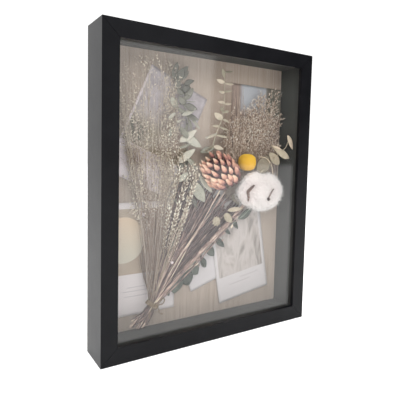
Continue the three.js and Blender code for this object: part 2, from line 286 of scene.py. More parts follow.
def black_paint(name, along):
    """Satin black paint over wood; the grain under it runs along one axis."""
    finish = Finish(name, specular=0.16)
    grain_scale = [60.0, 60.0, 60.0]
    grain_scale[along] = 3.0
    fine_scale = [900.0, 900.0, 900.0]
    fine_scale[along] = 60.0
    grain = finish.noise(8.0, 5.0, 0.6, finish.stretched(grain_scale))
    fine = finish.noise(1.0, 3.0, 0.6, finish.stretched(fine_scale))
    mottled = finish.noise(35.0, 3.0)
    finish.colour(finish.ramp(mottled, [(0.3, (0.0030, 0.0031, 0.0042)), (0.75, (0.0056, 0.0057, 0.0072))]))
    finish.set(Roughness=finish.spread(mottled, 0.26, 0.37))
    finish.bump(finish.mix(0.5, finish.spread(grain, 0, 1), fine), 0.00012, 0.35)
    return finish


def liner_board():
    """Dark board with painted light and shade: a little paler towards the top of the frame, darker towards
    the bottom.
    """
    finish = Finish("liner_board_finish", roughness=0.75)
    fibre = finish.noise(900.0, 3.0)
    base = finish.ramp(finish.noise(25.0), [(0.3, (0.040, 0.042, 0.040)), (0.7, (0.052, 0.054, 0.051))])
    height = finish.node("ShaderNodeSeparateXYZ", Vector=finish.coordinate).outputs["Z"]
    # painted light and shade: the board's colour is multiplied up towards the top and down towards the
    # bottom
    painted_light = finish.ramp(finish.math("DIVIDE", height, FRAME_HEIGHT), LINER_PAINTED_LIGHT)
    board = finish.mix(finish.spread(fibre, 0, 0.35), base, (0.075, 0.077, 0.073))
    finish.colour(finish.mix(1.0, board, painted_light, "MULTIPLY"))
    finish.bump(fibre, 0.0001, 0.4)
    return finish


def clear_glass():
    """Thin picture glass: light goes straight through, and the face adds a Fresnel reflection."""
    finish = Finish("picture_glass_finish")
    finish.tree.nodes.remove(finish.shader)
    clear = finish.node("ShaderNodeBsdfTransparent", Color=(0.972, 0.97, 0.965, 1))
    gloss = finish.node("ShaderNodeBsdfGlossy", Color=(1, 1, 1, 1), Roughness=0.06)
    facing = finish.node("ShaderNodeLayerWeight", Blend=0.5).outputs["Facing"]
    join = finish.node("ShaderNodeMixShader")
    for place, source in enumerate((
        finish.spread(finish.math("POWER", facing, 5.0), 0.04, 1.0), clear.outputs[0], gloss.outputs[0],
    )):
        feed(finish.tree, join.inputs[place], source)
    feed(finish.tree, finish.tree.nodes["Material Output"].inputs["Surface"], join.outputs[0])
    return finish


def fibreboard():
    finish = Finish("hardboard_finish", roughness=0.8, specular=0.3)
    fibre = finish.noise(450.0, 4.0, 0.7)
    base = finish.ramp(finish.noise(18.0, 3.0), [(0.3, (0.19, 0.115, 0.062)), (0.7, (0.26, 0.165, 0.095))])
    finish.colour(finish.mix(finish.spread(fibre, 0, 0.6), base, (0.12, 0.07, 0.04)))
    finish.bump(fibre, 0.0002, 0.5)
    return finish


def metal(name, level, rough, streak_scale=(700.0, 700.0, 700.0)):
    finish = Finish(name, metallic=1.0)
    streaks = finish.noise(1.0, 3.0, 0.6, finish.stretched(streak_scale))
    finish.colour(finish.ramp(streaks, greys((0.3, level * 0.78), (0.7, level))))
    finish.set(Roughness=finish.spread(streaks, rough - 0.08, rough + 0.12))
    finish.bump(streaks, 0.00003, 0.4)
    return finish


def rubber():
    finish = Finish("rubber_finish", roughness=0.65, specular=0.4)
    grain = finish.noise(1500.0)
    finish.colour(finish.ramp(grain, greys((0.3, 0.018), (0.7, 0.03))))
    finish.bump(grain, 0.00005, 0.5)
    return finish


def pearl():
    finish = Finish("pearl_finish", roughness=0.22, specular=0.6)
    finish.set(Coat_Weight=0.6)
    finish.colour(finish.ramp(finish.noise(260.0), [(0.3, (0.72, 0.6, 0.62)), (0.7, (0.86, 0.82, 0.84))]))
    return finish


def ease_edges(node, width):
    bevel = node.modifiers.new("eased_edges", "BEVEL")
    bevel.width = width
    bevel.segments = 2
    bevel.limit_method = "ANGLE"
    bevel.angle_limit = EDGE_ANGLE
    bevel.harden_normals = False


def finish_cad_nodes():
    """Finishes and eased edges on the nodes that keep their own shape."""
    upright = black_paint("black_paint_upright", 2)
    level = black_paint("black_paint_level", 0)
    zinc = metal("zinc_finish", 0.405, 0.36)
    looks = [  # start of the node names, finish, width of the eased edges
        ("rail_left", upright, RAIL_EDGE), ("rail_right", upright, RAIL_EDGE),
        ("rail_top", level, RAIL_EDGE), ("rail_bottom", level, RAIL_EDGE),
        ("liner_", liner_board(), 0), ("glass_pane", clear_glass(), 0), ("backing_board", fibreboard(), 0),
        ("turn_button_", metal("button_steel_finish", 0.343, 0.33, (40.0, 700.0, 700.0)), BUTTON_EDGE),
        ("sawtooth_", zinc, HANGER_EDGE), ("button_screw_", zinc, BUTTON_EDGE),
        ("hanger_nail_", zinc, 0), ("corner_v_nail_", zinc, 0), ("rear_bumper_", rubber(), 0),
    ]
    for name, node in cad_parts.items():
        for start, finish, width in looks:
            if name.startswith(start):
                node.data.materials.clear()
                node.data.materials.append(finish.material)
                if width:
                    ease_edges(node, width)


# --- mesh building

THREAD_ACROSS = (0.2, 0.9, 0.1)  # directions that give round sections their turn
STEM_ACROSS = (0.3, 0.9, 0.1)
FIBRE_ACROSS = (0.2, 0.1, 0.9)
HAIR_ACROSS = (0.3, 0.2, 0.9)
SEED_ACROSS = (0.1, 0.9, 0.2)


def smooth_path(points, count):
    """Catmull-Rom curve through the points."""
    points = np.asarray(points, float)
    ends = np.vstack([2 * points[0] - points[1], points, 2 * points[-1] - points[-2]])
    spans = len(points) - 1
    along = np.linspace(0, spans, count)
    at = np.minimum(along.astype(int), spans - 1)
    u = (along - at)[:, None]
    a, b, c, d = ends[at], ends[at + 1], ends[at + 2], ends[at + 3]
    return 0.5 * (2 * b + (c - a) * u + (2 * a - 5 * b + 4 * c - d) * u**2 + (3 * b - a - 3 * c + d) * u**3)


def unit(vectors):
    vectors = np.asarray(vectors, float)
    return vectors / np.maximum(np.linalg.norm(vectors, axis=-1, keepdims=True), 1e-9)


def in_plane(angle):
    """Unit direction in the panel's plane; the angle is from +Z towards +X."""
    return np.array([math.sin(angle), 0.0, math.cos(angle)])


def heading(vector):
    return math.atan2(vector[0], vector[2])


def lengths_along(path):
    return np.concatenate([[0], np.cumsum(np.linalg.norm(np.diff(path, axis=0), axis=1))])


class Solid:
    """Collects closed surfaces into one mesh; every vertex carries a tint from 0 to 1."""

    def __init__(self):
        self.points = []
        self.faces = []
        self.tints = []
        self.count = 0

    def add(self, points, faces, tint):
        start = self.count
        self.points.append(points)
        self.faces.extend([tuple(start + i for i in face) for face in faces])
        self.tints.append(np.broadcast_to(tint, len(points)).astype(float))
        self.count += len(points)

    def loft(self, path, half_width, half_depth, across, sides=6, tint=0.5, cup=0.0, corner=1.0):
        """A closed sweep along a path; its section is an ellipse, or a diamond as corner grows."""
        path = np.asarray(path, float)
        stations = len(path)
        ahead = unit(np.gradient(path, axis=0))
        across = np.broadcast_to(np.asarray(across, float), path.shape)
        side = unit(across - (across * ahead).sum(1, keepdims=True) * ahead)
        up = np.cross(ahead, side)
        half_width = np.broadcast_to(half_width, stations)[:, None, None]
        half_depth = np.broadcast_to(half_depth, stations)[:, None, None]
        angle = np.arange(sides) * 2 * math.pi / sides
        cosine = (np.sign(np.cos(angle)) * np.abs(np.cos(angle)) ** corner)[None, :, None]
        sine = (np.sign(np.sin(angle)) * np.abs(np.sin(angle)) ** corner)[None, :, None]
        lift = sine * half_depth + cup * half_width * cosine**2
        ring = path[:, None, :] + side[:, None, :] * cosine * half_width + up[:, None, :] * lift
        row = np.arange(stations - 1)[:, None] * sides
        k = np.arange(sides)
        after = (k + 1) % sides
        quads = np.stack([row + k, row + after, row + sides + after, row + sides + k], -1).reshape(-1, 4)
        last = (stations - 1) * sides
        faces = [range(sides - 1, -1, -1), *quads.tolist(), range(last, last + sides)]
        self.add(ring.reshape(-1, 3), faces, np.repeat(np.broadcast_to(tint, stations), sides))

    def thread(self, path, thick, thin, tint, sides=5):
        """A round loft whose radius tapers from thick to thin."""
        radius = np.linspace(thick, thin, len(path))
        self.loft(path, radius, radius, THREAD_ACROSS, sides, tint)

    def slab(self, front, rear):
        """A closed sheet between two equal grids of points."""
        columns, rows = front.shape[:2]
        count = columns * rows
        grid = np.arange(count).reshape(columns, rows)
        quads = np.stack([grid[:-1, :-1], grid[1:, :-1], grid[1:, 1:], grid[:-1, 1:]], -1).reshape(-1, 4)
        rim = np.concatenate([grid[:-1, 0], grid[-1, :-1], grid[:0:-1, -1], grid[0, :0:-1]])
        after = np.roll(rim, -1)
        edge = np.stack([rim, rim + count, after + count, after], -1)
        faces = np.concatenate([quads, (quads + count)[:, ::-1], edge]).tolist()
        self.add(np.concatenate([front.reshape(-1, 3), rear.reshape(-1, 3)]), faces, 0.5)

    def ball(self, shape, rows, columns):
        """A closed surface; shape gives points and tints for unit directions."""
        polar = np.linspace(0, math.pi, rows + 1)[1:-1]
        azimuth = np.arange(columns) * 2 * math.pi / columns
        theta, phi = np.meshgrid(polar, azimuth, indexing="ij")
        out = np.stack([np.sin(theta) * np.cos(phi), np.sin(theta) * np.sin(phi), np.cos(theta)], -1)
        out = np.vstack([[(0, 0, 1)], out.reshape(-1, 3), [(0, 0, -1)]])
        last = len(out) - 1
        faces = []
        for k in range(columns):
            after = (k + 1) % columns
            faces.append((0, 1 + k, 1 + after))
            for i in range(rows - 2):
                row = 1 + i * columns
                faces.append((row + k, row + columns + k, row + columns + after, row + after))
            row = 1 + (rows - 2) * columns
            faces.append((row + k, last, row + after))
        points, tints = shape(out)
        self.add(points, faces, tints)

    def fit(self, node):
        """Stretches everything collected so far to fill a node's box."""
        low, high = node_box(node)
        points = np.concatenate(self.points)
        own_low, own_high = points.min(0), points.max(0)
        self.points = [low + (points - own_low) / (own_high - own_low) * (high - low)]

    def build(self, name, finish, node=None):
        mesh = bpy.data.meshes.new(name)
        mesh.from_pydata(np.concatenate(self.points) * MM, [], self.faces)
        mesh.polygons.foreach_set("use_smooth", [True] * len(mesh.polygons))
        tint = mesh.attributes.new("tint", "FLOAT", "POINT")
        tint.data.foreach_set("value", np.clip(np.concatenate(self.tints), 0, 1))
        mesh.materials.append(finish.material)
        piece = add_object(name, mesh)
        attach(piece, PANEL)
        if node:
            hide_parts(node)
        return piece


# --- linen, cards and pins

LINEN_GRID = (130, 166)
LINEN_INSET = 0.08  # of the cloth's front, inside its node's box
LINEN_REAR = 0.75  # of the cloth's rear, from the same side
LINEN_SAG = 0.05
LINEN_TAUT = 10  # width of the rim along which the sag fades out

CARD_GRID = (25, 37)
CARD_INSET = 0.1  # of a card's middle, behind the place given for its front
CARD_WIDTH = 90
CARD_HEIGHT = 144
CARD_THICKNESS = 0.35
SOFT = 0.25  # half width of a printed edge, in millimetres
PEARL_FRONT = 0.8  # depth of a pearl's front half, as a fraction of its radius
PEARL_REAR = 0.55
PEARL_GRID = (16, 24)
PIN_RADII = [0.3, 0.3, 0.05]
PIN_POINT = 1.2  # length of the point


def linen_finish():
    finish = Finish("linen_finish", roughness=0.92, specular=0.15)
    threads = []
    for turn in (0.0, math.pi / 2):
        wave = finish.node("ShaderNodeTexWave", Vector=finish.stretched((1, 1, 1), (0, turn, 0)),
                           Scale=390.0, Distortion=1.6, Detail_Scale=0.6)
        threads.append(wave.outputs["Fac"])
    weave = finish.times(*threads)
    slubs = finish.noise(1.0, 3.0, 0.6, finish.stretched((420.0, 1.0, 9.0)))
    picks = finish.noise(1.0, 3.0, 0.6, finish.stretched((9.0, 1.0, 420.0)))
    base = finish.ramp(slubs, tones((0.32, 170, 155, 142), (0.5, 188, 174, 162), (0.68, 200, 188, 177)))
    base = finish.mix(finish.spread(picks, 0, 0.5), base, tone(176, 161, 149))
    base = finish.mix(finish.spread(finish.noise(14.0), 0, 0.25), base, tone(172, 155, 142))
    finish.colour(finish.mix(finish.spread(weave, 0, 0.22), base, tone(150, 134, 120)))
    finish.bump(finish.mix(0.35, weave, slubs), 0.00018, 0.5)
    finish.set(Sheen_Weight=0.15)
    return finish


def make_linen():
    low, high = node_box("linen_cover")
    across, up = (np.linspace(low[axis], high[axis], count) for axis, count in zip((0, 2), LINEN_GRID))
    x, z = np.meshgrid(across, up, indexing="ij")
    sag = LINEN_SAG * (np.sin(x / 17.0 + 1.3) * np.sin(z / 23.0) + 0.6 * np.sin(x / 7.0 + z / 31.0))
    from_edge = np.minimum.reduce([x - low[0], high[0] - x, z - low[2], high[2] - z])
    front = low[1] + LINEN_INSET + sag * np.minimum(1.0, from_edge / LINEN_TAUT)
    rear = np.full_like(x, low[1] + LINEN_REAR)
    sheet = Solid()
    sheet.slab(np.stack([x, front, z], -1), np.stack([x, rear, z], -1))
    piece = sheet.build("linen_cover_cloth", linen_finish(), "linen_cover")


class Print(Finish):
    """A printed card: masks in millimetres from the card's middle, u across and v up."""

    def __init__(self, name, roughness=0.5):
        super().__init__(name, roughness, specular=0.35)
        self.u = self.attribute("card_u")
        self.v = self.attribute("card_v")
        paper = self.noise(900.0, 3.0)
        self.bump(paper, 0.00004, 0.35)
        self.paper = self.mix(self.spread(paper, 0, 0.12), tone(212, 207, 208), tone(190, 186, 188))

    def above(self, value, edge, soft=SOFT):
        inputs = {"Value": value, "From_Min": edge - soft, "From_Max": edge + soft}
        return self.node("ShaderNodeMapRange", **inputs).outputs["Result"]

    def within(self, value, low, high, soft=SOFT):
        return self.times(self.above(value, low, soft), self.less(1.0, self.above(value, high, soft)))

    def window(self, left, right, bottom, top, soft=SOFT):
        return self.times(self.within(self.u, left, right, soft), self.within(self.v, bottom, top, soft))

    def wavy(self, value, scale, amount, seed=0.0):
        bend = self.noise(scale, 3.0, 0.5, self.stretched((1, 1, 1), (seed, 0, seed)))
        return self.math("ADD", value, self.times(self.less(bend, 0.5), amount))

    def rules(self, sheet, places, half, strength, ink):
        """Plain thin lines: height, left end and right end of each."""
        for height, left, right in places:
            rule = self.window(left, right, height - half, height + half, half * 0.43)
            sheet = self.mix(self.times(rule, strength), sheet, ink)
        return sheet


def grey_print():
    card = Print("card_grey_finish")
    haze = card.noise(46.0, 5.0, 0.65)
    picture = card.ramp(haze, tones((0.34, 166, 158, 162), (0.5, 188, 181, 186), (0.66, 214, 207, 213)))
    height = card.wavy(card.v, 40.0, 22.0)
    picture = card.mix(card.less(1.0, card.above(height, 12.0, 14.0)), picture, tone(168, 158, 140))
    for waves, across, along, strength, ink in (
        ((50.0, 14.0, 1.0), (-46, -18, 5), (-30, 2, 7), 0.7, tone(88, 92, 86)),
        ((60.0, 12.0, 2.0), (12, 34, 7), (-22, 10, 8), 0.6, tone(175, 140, 128)),
    ):
        patch = card.times(card.within(card.wavy(card.u, *waves), *across), card.within(height, *along))
        picture = card.mix(card.times(patch, strength), picture, ink)
    # the white margin is paler than the other cards' paper, as painted light against the left rail's shadow
    # falling on it
    card.colour(card.mix(card.window(-42, 52, -28, 76), tone(238, 229, 233), picture))
    return card


def blue_print():
    card = Print("card_blue_finish", roughness=0.4)
    across = card.wavy(card.u, 30.0, 10.0)
    picture = card.ramp(card.noise(30.0, 4.0, 0.6), tones((0.3, 150, 134, 126), (0.7, 170, 152, 142)))
    sky = card.times(card.within(across, -30, 18, 3), card.above(card.wavy(card.v, 40.0, 16.0), 34, 5))
    picture = card.mix(sky, picture, tone(186, 189, 195))
    trees = card.times(card.above(across, 18, 3), card.above(card.wavy(card.v, 60.0, 14.0, 1.0), 30, 5))
    card.colour(card.mix(trees, picture, tone(126, 124, 114)))
    return card


def beige_print():
    card = Print("card_beige_finish")
    picture = card.ramp(card.noise(26.0, 4.0, 0.6), tones((0.3, 172, 154, 136), (0.7, 188, 172, 154)))
    picture = card.mix(card.above(card.wavy(card.u, 30.0, 16.0), 8, 18), picture, tone(164, 136, 118))
    disc_u, disc_v, disc_radius = -27.2, 25.0, 29.0
    du = card.less(card.u, disc_u)
    dv = card.less(card.v, disc_v)
    reach = card.math("SQRT", card.math("ADD", card.times(du, du), card.times(dv, dv)))
    disc_tone = card.mix(card.above(card.v, 24, 26), tone(205, 200, 184), tone(226, 204, 178))
    picture = card.mix(card.less(1.0, card.above(reach, disc_radius, 0.6)), picture, disc_tone)
    # the white margin is paler than plain paper, as painted light against the shade on the left side of the
    # box
    sheet = card.mix(card.window(-41, 41, -19, 64), tone(228, 221, 222), picture)
    lines = [(-36, -22, 10), (-41, -28, 16), (-47.5, -26, 6)]
    card.colour(card.rules(sheet, lines, 0.35, 0.55, tone(140, 136, 146)))
    return card


def white_print():
    card = Print("card_white_finish")
    card.colour(card.mix(card.spread(card.noise(20.0), 0, 0.4), card.paper, tone(205, 202, 208)))
    return card


def cloth_print():
    card = Print("card_cloth_finish")
    folds = card.noise(1.0, 2.5, 0.55, card.stretched((52.0, 1.0, 15.0), (0, 0.6, 0)), 1.4)
    picture = card.ramp(folds, tones(
        (0.34, 150, 143, 138), (0.43, 186, 177, 172), (0.51, 200, 192, 189), (0.6, 178, 170, 165),
    ))
    sheet = card.mix(card.window(-39.5, 39.5, -36, 66, 0.4), card.paper, picture)
    card.colour(card.rules(sheet, [(-44, -4, 30), (-50, -24, 14)], 0.45, 0.5, tone(150, 138, 140)))
    return card


def make_card(node, middle_x, middle_z, turn, front_y, lift, finish):
    """A slightly curled card; lift is how far its free corners stand off the panel."""
    columns, rows = CARD_GRID
    across = np.linspace(-1, 1, columns) * CARD_WIDTH / 2
    along = np.linspace(-1, 1, rows) * CARD_HEIGHT / 2
    u, v = np.meshgrid(across, along, indexing="ij")
    turn = math.radians(turn)
    x = middle_x + u * math.cos(turn) - v * math.sin(turn)
    z = middle_z + u * math.sin(turn) + v * math.cos(turn)
    curl = lift * ((u / CARD_WIDTH * 2) ** 2 * 0.35 + (v / CARD_HEIGHT * 2) ** 4 * 0.65)
    front = np.stack([x, front_y - curl + CARD_INSET, z], -1)
    sheet = Solid()
    sheet.slab(front, front + (0, CARD_THICKNESS, 0))
    piece = sheet.build(node + "_print", finish, node)
    for name, values in (("card_u", u), ("card_v", v)):
        attribute = piece.data.attributes.new(name, "FLOAT", "POINT")
        attribute.data.foreach_set("value", np.tile(values.reshape(-1), 2))


def make_cards():
    make_card("card_upper_left", -64.7, 268, -24, 20.2, 0.4, grey_print())
    make_card("card_upper_right", 90.5, 269, -1, 20.2, 0.5, blue_print())
    make_card("card_lower_left", -84.8, 108, 0, 20.2, 0.4, beige_print())
    make_card("card_lower_middle", 7, 134.8, 17.6, 19.4, 0.4, white_print())
    make_card("card_lower_right", 65.5, 106.2, 9.5, 18.6, 0.8, cloth_print())


def make_pins():
    finish = pearl()
    for node in ("card_pin", "bouquet_pin"):
        low, high = node_box(node)
        axis = (low + high) / 2 * (1, 0, 1)
        radius = (high[0] - low[0]) / 2

        def head(out):
            squash = np.where(out[:, 1:2] > 0, (1, PEARL_REAR, 1), (1, PEARL_FRONT, 1))
            return axis + (0, low[1] + radius * PEARL_FRONT, 0) + out * radius * squash, 0.5

        pin = Solid()
        pin.ball(head, *PEARL_GRID)
        shaft = [axis + (0, y, 0) for y in (low[1] + radius * 1.15, high[1] - PIN_POINT, high[1])]
        pin.loft(shaft, PIN_RADII, PIN_RADII, (1, 0, 0), 8)
        pin.build(node + "_pearl", finish, node)


# --- the bouquet's shared shapes

TIE_MIDDLE = node_middle("twine_tie")
TIE_AXIS = in_plane(math.radians(38))
TIE_ACROSS = in_plane(math.radians(128))
TIE_HALF_ACROSS = 6.6  # of the stems inside the twine
TIE_HALF_DEPTH = 4.6
STEM_STATIONS = 34
LEAF_STATIONS = 9
LEAF_HALF_THICKNESS = 0.22


def plant_finish(name, stops, roughness=0.75, grain=350.0, fleck=0.3, bump=0.00012):
    """A dried-plant colour ramp driven by each vertex's tint, with flecks and a rough skin."""
    finish = Finish(name, roughness, specular=0.25)
    patch = finish.noise(grain, 3.0)
    offset = finish.times(finish.less(patch, 0.5), fleck * 2)
    finish.colour(finish.ramp(finish.math("ADD", finish.attribute("tint"), offset), stops))
    finish.bump(patch, bump, 0.5)
    return finish


def blade(solid, base, tip, width, roll=0.0, bend=0.0, cup=0.12, tint=0.5, round_end=0.7):
    """A leaf: a flattened loft from base to tip, rolled about its own line."""
    base, tip = np.asarray(base, float), np.asarray(tip, float)
    ahead = unit(tip - base)
    flat = unit(np.cross(ahead, DEPTHWISE))
    roll = math.radians(roll)
    across = flat * math.cos(roll) + np.cross(flat, ahead) * math.sin(roll)
    lift = np.cross(ahead, across)
    s = np.linspace(0.0, 1.0, LEAF_STATIONS)
    path = base + (tip - base) * s[:, None] + lift * (bend * np.sin(math.pi * s))[:, None]
    outline = np.sin(math.pi * np.clip(s, 0.02, 0.98) ** round_end) ** 0.72
    solid.loft(path, np.maximum(outline * width / 2, 0.12), LEAF_HALF_THICKNESS, across, 8, tint, cup)


def fan_point(line, a, reach=1.0, origin=np.zeros(3)):
    """A point at fraction a along a polyline, pulled towards an origin."""
    line = np.asarray(line, float)
    at = a * (len(line) - 1)
    k = min(int(at), len(line) - 2)
    point = line[k] + (line[k + 1] - line[k]) * (at - k)
    return origin + (point - origin) * reach


def at_depth(points, depth):
    """Points given as X and Z, all at one depth."""
    return [(x, depth, z) for x, z in points]


def through_tie(rng, spread=0.8):
    """A random place inside the twine's ring."""
    angle = rng.uniform(0, 2 * math.pi)
    reach = math.sqrt(rng.uniform(0, 1)) * spread
    across = TIE_ACROSS * math.cos(angle) * reach * TIE_HALF_ACROSS
    return TIE_MIDDLE + across + DEPTHWISE * math.sin(angle) * reach * TIE_HALF_DEPTH


def stem(solid, rng, points, thick, thin, tint, tail=0.0, wobble=0.5):
    """A stem from its cut tail through the tie and out along the points."""
    tie = through_tie(rng)
    start = []
    if tail:
        away = in_plane(math.radians(rng.uniform(205, 232)))
        start = [tie + away * tail + DEPTHWISE * rng.uniform(-1, 5)]
    path = smooth_path(start + [tie] + list(points), STEM_STATIONS)
    sway = np.cumsum(rng.normal(0, wobble, path.shape), axis=0) * np.linspace(0, 0.25, len(path))[:, None]
    path = path + sway * (1, 0.4, 1)
    radius = np.linspace(thick, thin, len(path)) * (1 + 0.16 * rng.normal(0, 1, len(path)))
    shade = np.clip(tint + rng.normal(0, 0.16, len(path)), 0, 1)
    solid.loft(path, radius, radius, STEM_ACROSS, 7, shade)


# --- stems and twine

HERO_STEMS = [  # points, radius at the start and at the end, tint, length of the cut tail
    ([(-47, 4, 101), (-10, 3, 148), (24, 2, 200)], 0.75, 0.7, 0.86, 34),
    ([(-71, -1, 60), (-25, -1, 99), (12, 0, 128), (54, 1, 167), (72, 1, 184)], 0.8, 0.8, 0.9, 30),
    ([(-61, 2, 112), (-33, 3, 175), (-16, 5, 207)], 0.7, 0.4, 0.74, 36),
    ([(-40, -2, 90), (-5, -2, 121), (33, -1, 152), (66, 0, 176)], 0.8, 1.7, 0.55, 28),
    ([(-52, 6, 96), (-22, 7, 142), (6, 6, 192)], 0.7, 0.5, 0.6, 38),
    ([(-46, 8, 98), (0, 9, 150), (44, 7, 205), (58, 3, 226)], 0.8, 0.7, 0.5, 31),
    ([(-66, 0, 88), (-50, -1, 130), (-34, 0, 172)], 0.6, 0.4, 0.85, 0),
    ([(-58, -2, 82), (-36, -3, 116), (-12, -2, 150)], 0.6, 0.4, 0.9, 33),
    ([(-68, -2, 62), (-22, -2, 103), (18, -1, 135), (58, 0, 172)], 0.7, 0.9, 0.58, 27),
    ([(-64, -1, 68), (-18, -3, 109), (24, -2, 146), (48, 0, 168)], 0.6, 0.7, 0.66, 25),
    ([(-66, 1, 58), (-20, 0, 94), (20, 1, 130), (60, 3, 164)], 0.6, 0.9, 0.4, 24),
]
STEM_ENDS = [(-36, 4, 222), (-22, 4, 210), (0, 4, 200), (22, 5, 194), (44, 5, 182), (66, 4, 172)]
LOW_STEM_ENDS = [(-28, 5, 88), (10, 5, 124), (52, 5, 160)]
STEM_COUNT = 62
STEM_TINTS = [0.04, 0.14, 0.26, 0.42, 0.62, 0.85]
STEM_TINT_SHARES = [0.32, 0.3, 0.2, 0.1, 0.05, 0.03]
BACKING_COUNT = 64  # paler stems that close the fan behind
LOW_STEM_COUNT = 14
FRAGMENT_COUNT = 70  # broken bits along the lowest stems

TWINE_TURNS = 5
TWINE_PITCH = 1.1
TWINE_HALF_ACROSS = 8.3
TWINE_HALF_DEPTH = 6.1
TWINE_LAY = 3.4  # length of one full twist of the plies
PLY_RADIUS = 0.46
PLY_OFFSET = 0.38  # of a ply's middle from the twine's
TWINE_FIBRES = 160
KNOT_PLACE = (1, -7, 1)  # from the middle of the tie
KNOT_HALF_SIZES = (2.3, 0.5, 2.1)
TWINE_LOOSE_ENDS = [  # from the knot
    [(0, 0, 0), (5, -1.2, 3), (10, -1.5, 8), (13, -0.5, 5), (10, -1, 1), (3, -0.6, 0)],
    [(0, 0, 0), (-5, -1, -3), (-8, -0.8, -9), (-7, 0, -15)],
    [(0, 0, 0), (4, -1, -4), (6, -0.5, -10), (11, 0.5, -13)],
]


def fragment(stems, rng):
    draw = rng.uniform
    spot = fan_point(LOW_STEM_ENDS, draw(0.1, 1.0))
    spot = spot + (rng.normal(0, 4), draw(-6, -2), rng.normal(3, 4))
    turn = math.radians(draw(10, 70) + rng.choice([0, 180]))
    tip = spot + in_plane(turn) * draw(3, 7)
    width, roll = draw(1, 2.8), draw(0, 50)
    blade(stems, spot, tip, width, roll, 0.5, 0.2, rng.choice([0.0, 0.1, 0.6, 0.95]))


def make_stems():
    rng = np.random.default_rng(11)
    draw = rng.uniform
    stems = Solid()
    for points, thick, thin, tint, tail in HERO_STEMS:
        stem(stems, rng, points, thick, thin, tint, tail, 0.7)
    for _ in range(STEM_COUNT):
        a = draw(0, 1)
        end = fan_point(STEM_ENDS, a, draw(0.75, 1.02), TIE_MIDDLE) + (0, draw(-2, 8), 0)
        middle = (end + TIE_MIDDLE) / 2 + (0, draw(-1, 5), 0)
        middle = middle + in_plane(heading(end - TIE_MIDDLE) + math.pi / 2) * rng.normal(0, 2.5)
        tint = rng.choice(STEM_TINTS, p=STEM_TINT_SHARES)
        thick, thin = draw(0.5, 0.85), draw(0.35, 0.65)
        stem(stems, rng, [middle, end], thick, thin, tint, rng.choice([0, draw(18, 36)]))
    for number in range(BACKING_COUNT):
        a = (number + draw(0.2, 0.8)) / BACKING_COUNT
        end = fan_point(STEM_ENDS, a, draw(0.86, 1.02), TIE_MIDDLE) + (0, draw(3, 8), 0)
        middle = (end + TIE_MIDDLE) / 2 + (0, draw(2, 5), 0)
        stem(stems, rng, [middle, end], 0.4, draw(0.85, 1.1), draw(0.02, 0.3), 0, 0.6)
    for _ in range(LOW_STEM_COUNT):
        end = fan_point(LOW_STEM_ENDS, draw(0, 1))
        end = end + (draw(-3, 3), draw(-3, 4), draw(-2, 5))
        middle = (end + TIE_MIDDLE) / 2 + (0, draw(-2, 3), 1)
        stem(stems, rng, [middle, end], 0.8, 0.5, draw(0.3, 0.95), 0)
    for _ in range(FRAGMENT_COUNT):
        fragment(stems, rng)
    finish = plant_finish("dried_stem_finish", tones(
        (0.0, 82, 66, 66), (0.3, 120, 102, 100), (0.62, 176, 150, 140), (0.85, 226, 202, 188),
        (1.0, 244, 230, 208),
    ), grain=600.0, fleck=0.16)
    stems.build("stem_bundle_stems", finish, "stem_bundle")


def twine_turns():
    """The route of the turns, and at each point the direction away from the stems."""
    turns = np.linspace(0, TWINE_TURNS, TWINE_TURNS * 44 + 1)
    across = TIE_ACROSS * np.cos(turns * 2 * math.pi)[:, None]
    deep = DEPTHWISE * np.sin(turns * 2 * math.pi)[:, None]
    centre = TIE_MIDDLE + TIE_AXIS * ((turns - TWINE_TURNS / 2) * TWINE_PITCH)[:, None]
    core = centre + across * TWINE_HALF_ACROSS + deep * TWINE_HALF_DEPTH
    return core, unit(across / TWINE_HALF_ACROSS + deep / TWINE_HALF_DEPTH)


def knot_paths():
    """The loose ends and the knot, in front of the turns."""
    front = TIE_MIDDLE + KNOT_PLACE
    turn = np.linspace(0, 4.4 * math.pi, 60)
    knot = front + np.stack([np.cos(turn), np.sin(turn * 1.5), np.sin(turn)], -1) * KNOT_HALF_SIZES
    return [smooth_path(np.array(offsets) + front, 70) for offsets in TWINE_LOOSE_ENDS] + [knot]


def lay_plies(twine, path, out):
    """Two plies twisted around a path."""
    side = np.cross(unit(np.gradient(path, axis=0)), out)
    for ply in (0, 1):
        twist = (lengths_along(path) * 2 * math.pi / TWINE_LAY + ply * math.pi)[:, None]
        strand = path + (side * np.cos(twist) + out * np.sin(twist)) * PLY_OFFSET
        twine.loft(strand, PLY_RADIUS, PLY_RADIUS, out, 6, 0.4 + 0.25 * ply)


def make_twine():
    twine = Solid()
    core, outward = twine_turns()
    lay_plies(twine, core, outward)
    for path in knot_paths():
        lay_plies(twine, path, np.broadcast_to(-DEPTHWISE, path.shape))
    rng = np.random.default_rng(12)
    for _ in range(TWINE_FIBRES):
        at = core[rng.integers(0, len(core) - 1)]
        away = unit(rng.normal(0, 1, 3))
        fibre = at + away * np.array([0.3, 1.1, 2.0])[:, None] + rng.normal(0, 0.25, (3, 3))
        twine.loft(fibre, 0.05, 0.05, FIBRE_ACROSS, 3, 0.9)
    stops = tones((0.0, 70, 60, 48), (0.5, 128, 110, 90), (1.0, 206, 188, 160))
    finish = plant_finish("twine_finish", stops, grain=900.0, fleck=0.25)
    twine.build("twine_tie_wraps", finish, "twine_tie")


# --- grasses and seed heads

